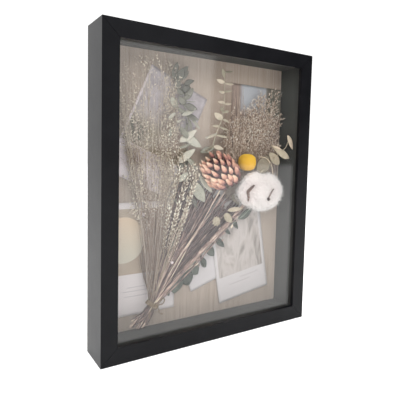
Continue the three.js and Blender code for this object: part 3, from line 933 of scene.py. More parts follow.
GRASS_TOP = 363  # keeps the seeds under the upper spacer
GRASS_RIGHT = 135  # keeps the bracts off the right spacer
GRASS_DEPTHS = (9, 17)
PARTING_REACH = 8  # larger makes the grass stems part for a pin from farther away
PARTING_SHIFT = 4.5
FINE_GRASS_RIM = at_depth([
    (-100, 238), (-112, 268), (-120, 298), (-119, 334), (-104, 355), (-82, 363), (-62, 363), (-47, 356),
    (-42, 312), (-44, 262),
], 12)
FINE_GRASS_STEMS = 66
FINE_GRASS_STATIONS = 30
LOOSE_HAIRS = 110
DARK_STEMS = 5  # along the left edge
DARK_STEM_POINTS = np.array([
    (-92, 12, 105), (-87, 12, 134), (-87, 12, 163), (-89, 12, 191), (-94, 12, 215), (-106, 12, 236),
    (-112, 13, 256),
])
BROWN_GRASS_RIM = at_depth([
    (29, 250), (30, 284), (40, 304), (57, 305), (73, 316), (84, 332), (104, 340), (122, 340), (133, 328),
    (135, 300), (133, 264), (128, 240),
], 13)
BROWN_GRASS_ROOT = np.array([66.0, 9.0, 196.0])
BROWN_GRASS_STEMS = 42
BROWN_GRASS_STATIONS = 22
BRANCHES = 12
CURLS = 8
STRAWS = 150
SHADED_BELOW = 257.5  # the brown grass is darker under this height
RACEME_STATIONS = 60
RACEMES = [  # points of the axis, length of a pod, fullness
    ([(-61, -2, 118), (-57, -2, 138), (-51, -3, 164), (-40, -3, 198), (-26, -3, 232)], 4.2, 1.1),
    ([(-67, 0, 112), (-64, 0, 138), (-60, 0, 168), (-53, 0, 198), (-44, 0, 224)], 3.8, 1.0),
    ([(-55, -4, 116), (-48, -5, 138), (-39, -5, 166), (-29, -4, 192), (-19, -3, 218)], 4.2, 1.1),
    ([(-50, 1, 130), (-42, 1, 152), (-33, 1, 178), (-26, 1, 204), (-21, 1, 228)], 4.0, 1.0),
    ([(-50, 2, 200), (-55, 3, 228), (-61, 4, 254), (-59, 4, 290)], 3.2, 0.7),
    ([(-44, 2, 212), (-47, 3, 238), (-54, 4, 262), (-55, 5, 286)], 3.0, 0.6),
    ([(-62, -3, 108), (-60, -4, 122), (-55, -5, 142), (-49, -5, 162)], 3.6, 0.8),
    ([(-38, 2, 206), (-36, 3, 222), (-41, 3, 240), (-47, 4, 252)], 3.0, 0.7),
]


def side_turn(rng, number, least, most):
    """A turn to one side and the other by turns, in radians."""
    return (1 if number % 2 else -1) * math.radians(rng.uniform(least, most))


def spikelets(solid, rng, path, size, tint, gap):
    """Small seeds along both sides of a fine branch."""
    length = lengths_along(path)
    at = rng.uniform(0.2, 1.0) * gap
    number = 1
    while at < length[-1]:
        k = min(int(np.searchsorted(length, at)), len(path) - 1)
        turn = heading(path[k] - path[max(k - 1, 0)] + 1e-6) + side_turn(rng, number, 15, 50)
        reach = size * rng.uniform(0.7, 1.3)
        away = in_plane(turn) + DEPTHWISE * rng.uniform(-0.5, 0.3)
        seed = path[k] + away * np.array([0.0, 0.55, 1.0])[:, None] * reach
        shade = np.clip(tint + rng.normal(0, 0.16), 0, 1)
        solid.loft(seed, [0.12, reach * 0.24, 0.08], [0.1, reach * 0.2, 0.08], SEED_ACROSS, 5, shade)
        at += gap * rng.uniform(0.6, 1.4)
        number += 1


def part_from(path, spot):
    """How far a stem moves in X so that it passes beside a spot and doesn't cross it."""
    away = path[:, 0] - spot[0]
    gap = np.hypot(away, path[:, 2] - spot[2])
    return np.where(away < 0, -1, 1) * np.clip(1.3 - gap / PARTING_REACH, 0, 1) * PARTING_SHIFT


def fine_branch(grass, rng, path, number, count):
    """A side branch with seeds along it; the first of a stem's branches is nearest its tip."""
    draw = rng.uniform
    s = 0.98 - 0.6 * ((number + draw(0, 0.8)) / count) ** 1.25
    k = int(s * (FINE_GRASS_STATIONS - 1))
    ahead = heading(path[k] - path[k - 1])
    turn = ahead + side_turn(rng, number, 14, 34)
    reach = draw(9, 24) * (1.1 - s * 0.4)
    away = (in_plane(turn) + DEPTHWISE * draw(-0.3, 0.15)) * reach
    bend = in_plane(ahead) * reach * 0.18
    branch = smooth_path([path[k], path[k] + away * 0.5 + bend * 0.3, path[k] + away + bend], 6)
    branch[:, 2] = np.minimum(branch[:, 2], GRASS_TOP)
    grass.thread(branch, 0.14, 0.06, 0.5, 4)
    bright = 1.0 if draw() < 0.4 else 0.55
    spikelets(grass, rng, branch, draw(1.8, 3.2), bright, 3.1)


def fine_stem(grass, rng, number, pin):
    """A stem from the tie to the rim of the spray, with its branches."""
    draw = rng.uniform
    a = ((number + draw(0, 1)) / FINE_GRASS_STEMS) ** 0.8
    end = fan_point(FINE_GRASS_RIM, a, draw(0.62 if number % 2 else 0.93, 1.0), TIE_MIDDLE)
    end = end * (1, 0, 1) + DEPTHWISE * draw(*GRASS_DEPTHS)
    bow = -12 * max(0.0, 0.6 - a) + rng.normal(0, 2.5)
    lean = in_plane(heading(end - TIE_MIDDLE) - math.pi / 2) * bow
    tie = through_tie(rng, 0.95)
    middle, upper = tie + (end - tie) * 0.45 + lean * 0.8, tie + (end - tie) * 0.75 + lean * 0.7
    path = smooth_path([tie, middle, upper, end], FINE_GRASS_STATIONS)
    path = path + np.cumsum(rng.normal(0, 0.16, path.shape), axis=0) * (1, 0.3, 1)
    path[:, 0] += part_from(path, pin)
    path[:, 2] = np.minimum(path[:, 2], GRASS_TOP)
    thick = draw(0.6, 1.1)
    shade = np.linspace(0.16, 0.74, FINE_GRASS_STATIONS) + draw(-0.26, 0.22)
    shade = shade + rng.normal(0, 0.06, FINE_GRASS_STATIONS)
    grass.thread(path, 0.36 * thick, 0.1 * thick, np.clip(shade, 0, 1))
    count = int(rng.integers(7, 11) if a < 0.7 else rng.integers(14, 20))
    for branch in range(count):
        fine_branch(grass, rng, path, branch, count)


def loose_hair(grass, rng):
    draw = rng.uniform
    low = fan_point(FINE_GRASS_RIM, draw(0, 1), draw(0.45, 0.85), TIE_MIDDLE)
    low = low * (1, 0, 1) + DEPTHWISE * draw(9, 16)
    along = heading(low - TIE_MIDDLE) + rng.normal(0, 0.06)
    high = low + in_plane(along) * draw(30, 80)
    high[2] = min(high[2], GRASS_TOP)
    hair = smooth_path([low, (low + high) / 2 + (rng.normal(0, 1.5), 0, 0), high], 8)
    grass.thread(hair, 0.26, 0.1, rng.choice([0.12, 0.5, 0.85]), 4)


def make_fine_grass():
    rng = np.random.default_rng(21)
    grass = Solid()
    pin = node_middle("card_pin")
    for number in range(FINE_GRASS_STEMS):
        fine_stem(grass, rng, number, pin)
    for _ in range(LOOSE_HAIRS):
        loose_hair(grass, rng)
    for number in range(DARK_STEMS):
        points = DARK_STEM_POINTS * (1 - 0.004 * number) + (number * 1.6, 0, 0)
        path = smooth_path([through_tie(rng, 0.6), *points], 40)
        path[:, 0] += part_from(path, pin)
        grass.thread(path, 0.5, 0.28, 0.04 + 0.03 * number)
    finish = plant_finish("fine_grass_finish", tones(
        (0.0, 98, 80, 70), (0.2, 158, 137, 123), (0.6, 204, 192, 179), (0.85, 228, 217, 199),
        (1.0, 246, 237, 219),
    ), grain=500.0, fleck=0.15)
    grass.build("fine_grass_spray", finish, "fine_grass")


def curl(solid, rng, at, angle, length, width, tint):
    """A small papery bract that curls as it rises."""
    s = np.linspace(0, 1, 5)
    side = rng.choice([-1, 1])
    turn = angle + side * s * rng.uniform(0.3, 1.3)
    step = np.stack([np.sin(turn), rng.uniform(-0.5, 0.35) * np.ones(5), np.cos(turn)], -1) * length / 4
    path = at + np.cumsum(step, axis=0) - step[0]
    path[:, 0] = np.minimum(path[:, 0], GRASS_RIGHT + 0.5)
    width = width * np.array([0.35, 0.9, 1.0, 0.7, 0.12]) / 2
    across = in_plane(angle + math.pi / 2) * 0.8 + DEPTHWISE * rng.uniform(-0.8, 0.8)
    shade = np.clip(tint + rng.normal(0, 0.08) + np.array([-0.3, -0.12, 0.0, 0.08, 0.12]), 0, 1)
    solid.loft(path, width, 0.16, across, 4, shade, 0.3)


def brown_branch(grass, rng, path, number):
    """A side branch covered in bracts."""
    draw = rng.uniform
    s = 0.36 + 0.62 * (number + draw(0, 0.8)) / BRANCHES
    k = max(1, int(s * (BROWN_GRASS_STATIONS - 1)))
    turn = heading(path[k] - path[k - 1]) + side_turn(rng, number, 16, 44)
    reach = draw(9, 20) * (1.1 - 0.5 * s)
    away = (in_plane(turn) + DEPTHWISE * draw(-0.35, 0.2)) * reach
    branch = smooth_path([path[k], path[k] + away * 0.5, path[k] + away], 5)
    branch[:, 0] = np.minimum(branch[:, 0], GRASS_RIGHT)
    grass.thread(branch, 0.14, 0.14, 0.3, 4)
    for step in range(CURLS):
        spot = fan_point(branch, (step + draw(0, 1)) / CURLS) + rng.normal(0, 0.7, 3)
        tint = draw(0.4, 1.0) - 0.12 * (spot[2] < SHADED_BELOW)
        spot[0] = min(spot[0], GRASS_RIGHT - 2)
        angle = turn + rng.normal(0, 0.7)
        curl(grass, rng, spot, angle, draw(2.0, 4.4), draw(0.6, 1.3), tint)


def brown_stem(grass, rng, number):
    """A stem from the root to the rim of the tuft, with its branches."""
    draw = rng.uniform
    a = (number + draw(0, 1)) / BROWN_GRASS_STEMS
    reach = (draw(0.7, 1.0) ** 0.6) * (1 + rng.normal(0, 0.035))
    end = fan_point(BROWN_GRASS_RIM, a, reach, BROWN_GRASS_ROOT)
    end = np.minimum(end * (1, 0, 1) + DEPTHWISE * draw(*GRASS_DEPTHS), (GRASS_RIGHT - 2, 30, 350))
    start = BROWN_GRASS_ROOT + (draw(-16, 16), draw(-2, 3), draw(0, 10))
    lean = in_plane(heading(end - start) + math.pi / 2)
    path = smooth_path([start, (start + end) / 2 + lean * rng.normal(0, 4), end], BROWN_GRASS_STATIONS)
    path[:, 0] = np.minimum(path[:, 0], GRASS_RIGHT - 1)
    grass.thread(path, 0.5, 0.16, 0.25)
    for branch in range(BRANCHES):
        brown_branch(grass, rng, path, branch)


def make_brown_grass():
    rng = np.random.default_rng(31)
    draw = rng.uniform
    grass = Solid()
    for number in range(BROWN_GRASS_STEMS):
        brown_stem(grass, rng, number)
    for _ in range(STRAWS):
        low = np.array([draw(34, 98), draw(8, 16), draw(200, 225)])
        high = low + (draw(-8, 10), 0, draw(25, 122 if low[0] < 58 else 60))
        path = smooth_path([low, (low + high) / 2 + (rng.normal(0, 2), 0, 0), high], 10)
        grass.thread(path, 0.45, 0.15, draw(0.0, 0.75))
    finish = plant_finish("brown_grass_finish", tones(
        (0.0, 124, 106, 98), (0.3, 184, 163, 147), (0.6, 224, 206, 189), (0.85, 245, 232, 216),
        (1.0, 255, 249, 240),
    ), grain=420.0, fleck=0.2)
    grass.build("brown_grass_bracts", finish, "brown_grass")


def pod(seeds, rng, axis, size, number, count):
    """One pod of a raceme; the lowest pods are smaller and darker."""
    s = (number + rng.uniform(0, 1)) / count
    k = min(int(s * (RACEME_STATIONS - 2)) + 1, RACEME_STATIONS - 1)
    ahead = unit(axis[k] - axis[k - 1])
    turn = number * GOLDEN_ANGLE + rng.normal(0, 0.3)
    flat = np.cross(ahead, DEPTHWISE)
    outward = flat * math.cos(turn) + np.cross(flat, ahead) * math.sin(turn)
    grow = unit(outward * 0.8 + ahead * rng.uniform(0.5, 1.1))
    grown = np.clip((axis[k][2] - 120) / 45, 0.0, 1.0)
    reach = size * 1.15 * rng.uniform(0.75, 1.25) * (1 - 0.35 * s) * (0.45 + 0.55 * grown)
    t = np.linspace(0, 1, 5)[:, None]
    path = axis[k] + outward * rng.uniform(0.2, 1.8) + grow * t * reach + ahead * t**2 * 0.8
    width = reach * np.array([0.08, 0.23, 0.29, 0.2, 0.03])
    shade = 0.32 + 0.36 * grown + rng.normal(0, 0.16) + np.array([-0.5, -0.15, 0.1, 0.2, 0.15])
    seeds.loft(path, width, width * 0.75, np.cross(grow, ahead), 6, np.clip(shade, 0, 1))


def make_seed_heads():
    rng = np.random.default_rng(41)
    seeds = Solid()
    for points, size, fullness in RACEMES:
        tie = through_tie(rng, 0.7)
        first = np.array(points[0], float)
        neck = smooth_path([tie, (tie + first) / 2 + (-1, 0, 1), first], 12)
        axis = smooth_path(points, RACEME_STATIONS)
        seeds.thread(np.vstack([neck, axis[1:]]), 0.6, 0.25, 0.3)
        count = int(lengths_along(axis)[-1] / 1.35 * fullness)
        for number in range(count):
            pod(seeds, rng, axis, size, number, count)
    finish = plant_finish("seed_head_finish", tones(
        (0.0, 112, 96, 84), (0.3, 170, 154, 136), (0.6, 214, 202, 184), (0.85, 238, 228, 210),
        (1.0, 255, 248, 236),
    ), grain=450.0, fleck=0.2)
    seeds.build("seed_cluster_pods", finish, "seed_cluster")


# --- leaves

LEAF_STOPS = [
    (0.0, 74, 76, 70), (0.3, 118, 117, 109), (0.6, 158, 157, 144), (0.85, 190, 189, 176),
    (1.0, 216, 211, 198),
]
EUCALYPTUS_LINE = [(-24, 8, 178), (-28, 9, 215), (-31, 9, 255), (-33, 9, 290), (-40, 9, 320), (-46, 9, 345)]
EUCALYPTUS_LEAVES = [  # X and Z of the base, X and Z of the tip, width, roll in degrees, tint
    (-46, 333, -42, 349, 10, 10, 0.2), (-46, 333, -55, 346, 8, 30, 0.16), (-43, 321, -48, 335, 8, 20, 0.3),
    (-42, 343, -34, 352, 7, 35, 0.25), (-50, 340, -48, 356, 7, 25, 0.28), (-38, 330, -26, 335, 7, 30, 0.2),
    (-41, 322, -30, 326, 8, 20, 0.14), (-40, 316, -50, 322, 7, 35, 0.3), (-36, 312, -44, 304, 7, 25, 0.22),
    (-42, 319, -27, 316, 7, 50, 0.5), (-38, 309, -23, 309, 5, 68, 0.75), (-38, 303, -21, 299, 11, 20, 0.36),
    (-41, 290, -23, 300, 8, 45, 0.88), (-35, 292, -17, 286, 9, 25, 0.36), (-28, 291, -14, 274, 8, 35, 0.85),
    (-31, 288, -27, 271, 8, 30, 0.55), (-41, 257, -18, 273, 11, 25, 1.0), (-34, 265, -11, 251, 13, 10, 0.86),
    (-47, 248, -28, 255, 5, 58, 0.6), (-44, 230, -21, 248, 10, 25, 0.96), (-44, 222, -25, 240, 10, 15, 0.36),
    (-9, 244, 12, 251, 9, 35, 0.6), (-2, 263, 14, 270, 5, 55, 1.0), (-14, 213, 5, 191, 12, 20, 0.8),
    (-23, 205, -7, 179, 18, 5, 0.7), (-33, 236, -20, 222, 9, 25, 0.72), (-44, 206, -33, 218, 8, 30, 0.8),
    (-50, 190, -42, 176, 8, 25, 0.6), (-24, 186, -18, 170, 9, 30, 0.3), (-30, 196, -46, 186, 8, 40, 0.4),
    (-31, 262, -44, 276, 8, 40, 0.5), (-33, 292, -46, 300, 7, 50, 0.5), (-35, 304, -47, 313, 8, 30, 0.4),
    (-36, 310, -25, 326, 9, 20, 0.42), (-40, 320, -29, 336, 8, 25, 0.35), (-30, 281, -41, 268, 8, 30, 0.5),
    (-46, 300, -56, 312, 9, 25, 0.7), (-50, 292, -62, 286, 8, 40, 0.85), (-52, 276, -60, 262, 9, 30, 0.66),
    (-40, 285, -50, 282, 6, 50, 0.95), (-45, 336, -33, 346, 9, 15, 0.3), (-24, 216, -36, 206, 9, 30, 0.75),
]
BABY_LINE = [
    (4, 7, 205), (8, 8, 245), (14, 9, 268), (23, 9, 290), (26, 9, 311), (26, 9, 325), (26, 9, 340),
    (25, 9, 355),
]
BABY_LEAVES = [  # the same columns
    (25, 346, 20, 357, 5, 20, 0.6), (26, 353, 37, 354.5, 4, 45, 0.8), (25.5, 338.5, 11, 341, 6, 35, 1.0),
    (26, 338, 39, 337.5, 5, 38, 1.0), (26, 325, 14, 326, 4.5, 40, 0.95), (26, 326, 37, 328.5, 4, 45, 0.85),
    (26, 311, 13, 312, 4.5, 42, 1.0), (26, 311, 37, 311, 5, 42, 1.0), (25, 300, 18, 305, 5, 30, 0.6),
    (25, 299, 33, 301, 5, 40, 0.8), (23.5, 289, 8.5, 297, 9, 30, 0.95), (23.5, 289, 33, 285, 6, 40, 0.9),
    (19, 279, 6, 280, 5, 45, 0.9), (19, 279, 33, 275, 5, 42, 0.85), (14, 268, -3, 262, 5, 48, 1.0),
    (14, 268, 33, 265, 5, 42, 0.9), (10, 252, -6, 246, 8, 35, 0.62), (10, 252, 24, 249, 8, 32, 1.0),
    (7, 236, -6, 232, 7, 40, 0.5), (7, 236, 20, 240, 7, 40, 0.6),
]
SIDE_TWIG = [(70, -2, 205), (92, -6, 226), (110, -10, 244), (121, -12, 253), (125, -12.5, 262)]
SIDE_LEAF_RIM = [(79, -5, 240), (90, -7.5, 237.5), (99, -8, 228), (103, -8, 214)]
SIDE_LEAVES = [  # base, tip, width, roll, bend, cup, tint, round end
    ((123.5, -13, 271), (136.3, -11, 251), 10, 12, 0.6, 0.1, 1.0, 0.85),
    ((97, -11, 254.5), (129, -12, 238), 12, 8, -0.6, 0.12, 0.8, 1.5),
    ((94, -11, 256), (113, -12, 251), 4, 20, 0.4, 0.12, 1.0, 1.5),
    ((96, -6, 245), (115, -7, 229), 16, 5, 1.0, 0.1, 0.68, 1.0),
    ((80, -1, 216), (96, -4, 241), 21, 15, 2.5, 0.22, 0.4, 0.9),
    ((30, -1, 165), (54, -3, 167), 7, 40, 1.0, 0.14, 0.85, 0.7),
    ((40, 4, 186), (52, 2, 172), 13, 10, 1.0, 0.14, 0.2, 0.7),
    ((24, -1, 160), (37, -2, 149), 12, 10, 1.0, 0.14, 0.66, 0.7),
]
ROSETTE_MIDDLE = np.array([10.0, -1.5, 152.0])
ROSETTE_PETALS = 9
LEAF_ROW_LINE = [(-48, 5, 76), (-12, 7, 101), (28, 7, 134), (62, 5, 156), (78, 3, 170)]
LEAF_ROW = [  # X and Z of the base, X and Z of the tip, width, tint, round end
    (-44, 84, -44, 58, 23, 0.2, 0.8), (-34, 94, -23, 66, 20, 0.04, 1.2), (-22, 97, -9, 79, 17, 0.2, 0.9),
    (-8, 104, 4, 87, 11, 0.08, 1.3), (3, 117, 17, 101, 12, 0.18, 0.9), (18, 126, 34, 112, 9, 0.06, 0.8),
    (30, 140, 44, 129, 6, 0.02, 0.8), (42, 153, 57, 136, 9, 0.02, 0.8), (56, 151, 82, 164, 13, 0.16, 0.9),
    (-58, 70, -52, 56, 8, 0.1, 0.9),
]


def leaf_finish(name, warm=(1, 1, 1)):
    stops = [(at, *(min(255, c * w) for c, w in zip(colour, warm))) for at, *colour in LEAF_STOPS]
    return plant_finish(name, tones(*stops), grain=160.0, fleck=0.2)


def add_leaves(solid, rng, leaves, depths, fall, bend, round_end):
    """Blades from a table of leaves; each tip stands fall nearer the glass than its base."""
    for base_x, base_z, tip_x, tip_z, width, roll, tint in leaves:
        depth = rng.uniform(*depths)
        base, tip = (base_x, depth, base_z), (tip_x, depth - fall, tip_z)
        blade(solid, base, tip, width, roll, rng.uniform(-bend, bend), 0.14, tint, round_end)


def make_eucalyptus():
    rng = np.random.default_rng(51)
    sprig = Solid()
    tail = smooth_path([through_tie(rng), (-56, 6, 112), (-24, 8, 178)], 20)
    sprig.thread(np.vstack([tail, smooth_path(EUCALYPTUS_LINE, 40)[1:]]), 0.9, 0.45, 0.45, 7)
    add_leaves(sprig, rng, EUCALYPTUS_LEAVES, (4, 11), 3.5, 1.5, 0.85)
    finish = leaf_finish("eucalyptus_finish")
    sprig.build("eucalyptus_sprig_leaves", finish, "eucalyptus_sprig")


def make_baby_eucalyptus():
    rng = np.random.default_rng(52)
    sprig = Solid()
    sprig.thread(smooth_path(BABY_LINE, 60), 0.8, 0.35, 0.85, 7)
    add_leaves(sprig, rng, BABY_LEAVES, (7, 10), 3, 1, 0.9)
    finish = leaf_finish("baby_eucalyptus_finish", (1.03, 1.0, 0.97))
    sprig.build("baby_eucalyptus_leaves", finish, "baby_eucalyptus")


def make_side_leaves():
    leaves = Solid()
    leaves.thread(smooth_path(SIDE_TWIG, 20), 0.7, 0.4, 0.8, 7)
    leaves.thread(smooth_path(SIDE_LEAF_RIM, 20), 0.55, 0.55, 0.98, 6)
    for leaf in SIDE_LEAVES:
        blade(leaves, *leaf)
    for number in range(ROSETTE_PETALS):
        tip = ROSETTE_MIDDLE + in_plane(number * 0.72) * 7 - DEPTHWISE * 1.6
        blade(leaves, ROSETTE_MIDDLE, tip, 5.5, 10, 1.0, 0.25, 0.66)
    finish = leaf_finish("side_leaf_finish", (1.06, 1.0, 0.95))
    leaves.build("side_leaves_blades", finish, "side_leaves")


def make_leaf_row():
    rng = np.random.default_rng(53)
    row = Solid()
    row.thread(smooth_path([through_tie(rng, 0.5), *LEAF_ROW_LINE], 50), 0.8, 0.45, 0.7, 7)
    for base_x, base_z, tip_x, tip_z, width, tint, round_end in LEAF_ROW:
        roll, bend = rng.uniform(-12, 12), rng.uniform(-1, 1)
        blade(row, (base_x, 9, base_z), (tip_x, 11, tip_z), width, roll, bend, 0.1, tint, round_end)
    finish = leaf_finish("dark_leaf_finish", (0.86, 0.93, 0.92))
    row.build("leaf_row_leaves", finish, "leaf_row")


# --- pine cone, cotton boll and craspedia

CONE_AXIS = unit(np.array([-0.64, -0.05, 0.77]))
CONE_ACROSS = unit(np.cross(CONE_AXIS, DEPTHWISE))
CONE_DEEP = np.cross(CONE_AXIS, CONE_ACROSS)
CONE_LENGTH = 52.0
CONE_RADIUS = 26.0
CONE_ROWS = 6
CONE_AROUND = 10
SCALE_STATIONS = np.array([0.0, 0.2, 0.4, 0.56, 0.7, 0.84, 0.95, 1.0])
SCALE_WIDTHS = np.array([0.35, 0.75, 1.0, 0.94, 0.74, 0.46, 0.2, 0.05])
SCALE_DEPTHS = np.array([0.3, 0.55, 0.8, 0.84, 0.7, 0.44, 0.18, 0.05])
# from a scale's root to its tip; the dark roots are partly the cone's own colour and partly painted shade
# between the scales
SCALE_TINTS = np.array([0.0, 0.14, 0.5, 0.68, 0.82, 0.94, 1.0, 1.0])

LOBES = np.array([  # the balls that make the boll, about its middle, and their radii
    (-0.62, 0.05, 0.0, 0.5), (-0.12, -0.1, -0.04, 0.68), (0.58, -0.02, 0.0, 0.54), (-0.34, 0.05, 0.46, 0.5),
    (0.3, 0.0, 0.42, 0.5), (0.0, 0.35, 0.0, 0.62), (0.0, 0.0, -0.5, 0.52), (0.46, 0.0, -0.4, 0.5),
    (-0.5, 0.1, -0.26, 0.44),
])
LOBE_BLEND = 8.0  # higher keeps the lobes apart
CREASES = [  # across and up on the boll's front, as fractions of its half sizes
    [(-0.64, 0.4), (-0.78, 0.2), (-0.86, 0.0), (-0.83, -0.24), (-0.79, -0.5)],
    [(0.6, 0.14), (0.46, -0.04), (0.36, -0.24), (0.24, -0.5)],
]
CREASE_WIDTHS = (2.4, 1.4)
CREASE_FOOT = (0.22, -0.52)  # a dark scrap of husk below the right crease
BOLL_GRID = (110, 170)
BOLL_BUMPS = ((5.0, 0.022), (11.0, 0.012), (23.0, 0.006))  # frequency, height
BOLL_FIBRES = 5200
BOLL_FIBRE_RADIUS = 0.075
BOLL_ROOT = (-6, 4, -20)  # where the husk starts, from the boll's middle
CRASPEDIA_GRID = (84, 120)
FLORETS = 420


def cone_girth(t):
    """Radius of the cone at a fraction of its length, before it is fitted to its node's box."""
    return CONE_RADIUS * np.sin(math.pi * np.clip(0.2 + 0.68 * t, 0, 1)) ** 0.75


def cone_scale(cone, rng, t, turn):
    """A keeled scale at a fraction of the cone's length, turned about its axis."""
    out = CONE_ACROSS * math.cos(turn) + CONE_DEEP * math.sin(turn)
    tangent = np.cross(CONE_AXIS, out)
    reach = (22.0 - 6.0 * t) * rng.uniform(0.9, 1.12)
    half = (4.8 - 1.3 * t) * rng.uniform(0.88, 1.1)
    lift = 0.42 - 0.2 * t + rng.normal(0, 0.06)
    grow = unit(CONE_AXIS + out * lift + tangent * rng.normal(0, 0.07))
    root = CONE_AXIS * ((t - 0.62) * CONE_LENGTH + rng.normal(0, 0.8)) + out * cone_girth(t) * 0.72
    bow = out * (2.0 * np.sin(SCALE_STATIONS * 2.4))[:, None]
    path = root + grow * (SCALE_STATIONS * reach)[:, None] + bow
    # scales that face +X are darkened: painted shade on the cone's side away from the light
    shade = np.clip(SCALE_TINTS - 0.4 * max(0.0, out[0]) - rng.normal(0, 0.06), 0, 1)
    cone.loft(path, half * SCALE_WIDTHS, half * SCALE_DEPTHS, tangent, 8, shade, corner=1.12)


def make_pine_cone():
    """A side view of the cone: rows of scales that all point towards its tip."""
    rng = np.random.default_rng(61)
    cone = Solid()
    spine = np.linspace(0, 1, 14)
    core = cone_girth(spine) * 0.62
    cone.loft(CONE_AXIS * ((spine - 0.5) * CONE_LENGTH * 0.86)[:, None], core, core, CONE_ACROSS, 24, 0.0)
    for row in range(CONE_ROWS):
        for place in range(CONE_AROUND):
            turn = (place + row % 2 / 2 + rng.normal(0, 0.06)) * 2 * math.pi / CONE_AROUND
            cone_scale(cone, rng, (row + 0.4) / CONE_ROWS, turn)
    cone.fit("pine_cone")
    finish = plant_finish("pine_cone_finish", tones(
        (0.0, 78, 52, 54), (0.25, 122, 82, 86), (0.5, 186, 132, 120), (0.75, 232, 180, 156),
        (1.0, 255, 222, 196),
    ), roughness=0.62, grain=220.0, fleck=0.3, bump=0.0003)
    cone.build("pine_cone_scales", finish, "pine_cone")


def boll_radius(out):
    """How far the boll's soft surface is from its middle in each unit direction."""
    middles, radii = LOBES[:, :3], LOBES[:, 3]
    along = out @ middles.T
    inside = along**2 - (middles**2).sum(1) + radii**2
    hit = np.where(inside > 0, along + np.sqrt(np.maximum(inside, 0)), 0.0)
    return np.log(np.exp(hit * LOBE_BLEND).sum(-1)) / LOBE_BLEND


def fluff(out, rng):
    """The boll's surface with its fine bumps and its painted shade: darker in the hollows between lobes,
    towards its left and right edges and along the creases on its front.
    """
    reach = boll_radius(out)
    bumps = np.zeros(len(out))
    for frequency, amount in BOLL_BUMPS:
        turn = rng.uniform(0, 6, (3, 3))
        wave = np.sin(out @ turn * frequency + rng.uniform(0, 6, 3))
        bumps += amount * wave.prod(-1) * 2
    # painted shade: darker in the hollows between the lobes and towards the left and right edges
    shade = np.clip((reach - 0.78) / 0.3, 0, 1) * 0.4 + 0.6 - 0.3 * np.abs(out[:, 0]) ** 2
    # painted shade along the creases on the boll's front
    for line in CREASES:
        gap = np.min([np.hypot(out[:, 0] - u, out[:, 2] - w) for u, w in smooth_path(line, 9)], axis=0)
        shade -= 0.4 * np.exp(-((gap / 0.14) ** 2)) * (out[:, 1] < 0)
    return out * (reach + bumps)[:, None], shade


def placing(shape, low, high):
    """The function that carries points of a shape to its place between two corners."""
    inset = (high - low) * 0.03
    own_low, own_size = shape.min(0), np.ptp(shape, axis=0)
    return lambda points: low + inset + (points - own_low) / own_size * (high - low - inset * 2)


def add_fibres(boll, rng, place, low, high):
    """Fine hairs over the boll's surface."""
    s = np.linspace(-0.04, 1.0, 5)[:, None]
    for _ in range(BOLL_FIBRES):
        out = unit(rng.normal(0, 1, 3))
        grow = unit(out + rng.normal(0, 0.55, 3))
        drift = rng.normal(0, 0.5, 3)
        curve = (grow * s * 0.12 + drift * s**2 * 0.06) * rng.uniform(0.6, 1.4)
        hair = place(out * boll_radius(out) + curve)
        hair = np.clip(hair, low - (2, -0.15, 2), high + (2, 0, 2))
        boll.loft(hair, BOLL_FIBRE_RADIUS, BOLL_FIBRE_RADIUS, HAIR_ACROSS, 3, 0.95)


def make_husk(place):
    """Dark seams in the creases, a scrap below them and pointed bracts under the boll."""
    def on_front(u, w):
        out = unit(np.array([u, -math.sqrt(max(0.05, 1 - u * u - w * w)), w]))
        return place(out * boll_radius(out))

    husk = Solid()
    for line, width in zip(CREASES, CREASE_WIDTHS):
        half = width * np.sin(np.linspace(0.25, math.pi - 0.1, 16)) ** 0.6 + 0.15
        path = smooth_path([on_front(u, w) for u, w in line], 16)
        husk.loft(path, half, 1.6, in_plane(math.radians(80)), 8, np.linspace(0.2, 0.6, 16))
    scrap = on_front(*CREASE_FOOT) + np.array([(0, -1.3, 3), (0, -1.8, 0), (0, -1.5, -2.2)])
    husk.loft(scrap, [0.8, 2.5, 0.8], [0.8, 2.5, 0.8], (1, 0, 0), 8, 0.05)
    root = node_middle("cotton_boll") + BOLL_ROOT
    for spread in (-32, -8, 18, 40):
        tip = root + in_plane(math.radians(180 + spread)) * 12 + (0, -3, 8)
        blade(husk, root, tip, 9, 10, 2, 0.25, 0.45)
    stops = tones((0.0, 62, 44, 38), (0.5, 112, 84, 72), (1.0, 168, 138, 118))
    finish = plant_finish("boll_husk_finish", stops, grain=500.0, fleck=0.25)
    husk.build("cotton_boll_husk", finish)


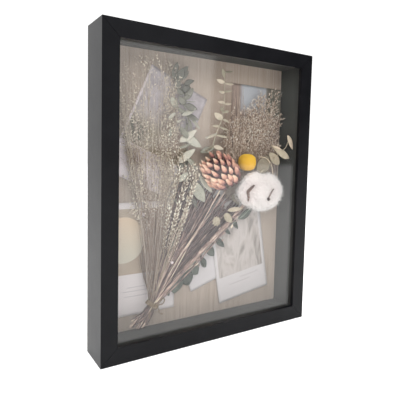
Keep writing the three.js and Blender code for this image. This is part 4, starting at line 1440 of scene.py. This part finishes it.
def make_boll():
    rng = np.random.default_rng(71)
    boll = Solid()
    boll.ball(lambda out: fluff(out, rng), *BOLL_GRID)
    low, high = node_box("cotton_boll")
    low, high = low - (5, 0, 2), high + (5, 0, 2)
    place = placing(boll.points[0], low, high)
    boll.points = [place(boll.points[0])]
    add_fibres(boll, rng, place, low, high)
    finish = plant_finish("cotton_finish", [
        (0.0, (0.52, 0.45, 0.44)), (0.4, (0.72, 0.65, 0.64)), (0.75, (0.83, 0.785, 0.77)),
        (1.0, (0.93, 0.91, 0.9)),
    ], roughness=0.95, grain=420.0, fleck=0.12, bump=0.0006)
    finish.set(Sheen_Weight=0.3)
    boll.build("cotton_boll_fluff", finish, "cotton_boll")
    make_husk(place)


def make_craspedia():
    k = np.arange(FLORETS)
    height = 1 - 2 * (k + 0.5) / FLORETS
    flat = np.sqrt(1 - height**2)
    florets = np.stack([flat * np.cos(k * GOLDEN_ANGLE), flat * np.sin(k * GOLDEN_ANGLE), height], -1)

    def bumpy(out):
        near = (out @ florets.T).max(1)
        gap = np.arccos(np.clip(near, -1, 1)) * math.sqrt(FLORETS) / 2.1
        rise = np.cos(np.clip(gap, 0, 1) * math.pi / 2)
        square = np.sign(out) * np.abs(out) ** 0.82
        # tints: lighter on each floret's top and towards the head's top, darker between the florets, as
        # painted light and shade
        return square * (1 + 0.075 * rise)[:, None], 0.25 + 0.6 * rise + 0.15 * out[:, 2]

    head = Solid()
    head.ball(bumpy, *CRASPEDIA_GRID)
    head.fit("craspedia_head")
    finish = plant_finish("craspedia_finish", tones(
        (0.0, 160, 116, 44), (0.4, 226, 174, 66), (0.75, 252, 204, 66), (1.0, 255, 222, 96),
    ), roughness=0.85, grain=900.0, fleck=0.2)
    head.build("craspedia_head_florets", finish, "craspedia_head")


make_camera()
make_floor()
make_light()
make_studio()
finish_cad_nodes()
make_linen()
make_cards()
make_pins()
make_stems()
make_twine()
make_fine_grass()
make_brown_grass()
make_seed_heads()
make_eucalyptus()
make_baby_eucalyptus()
make_side_leaves()
make_leaf_row()
make_pine_cone()
make_boll()
make_craspedia()
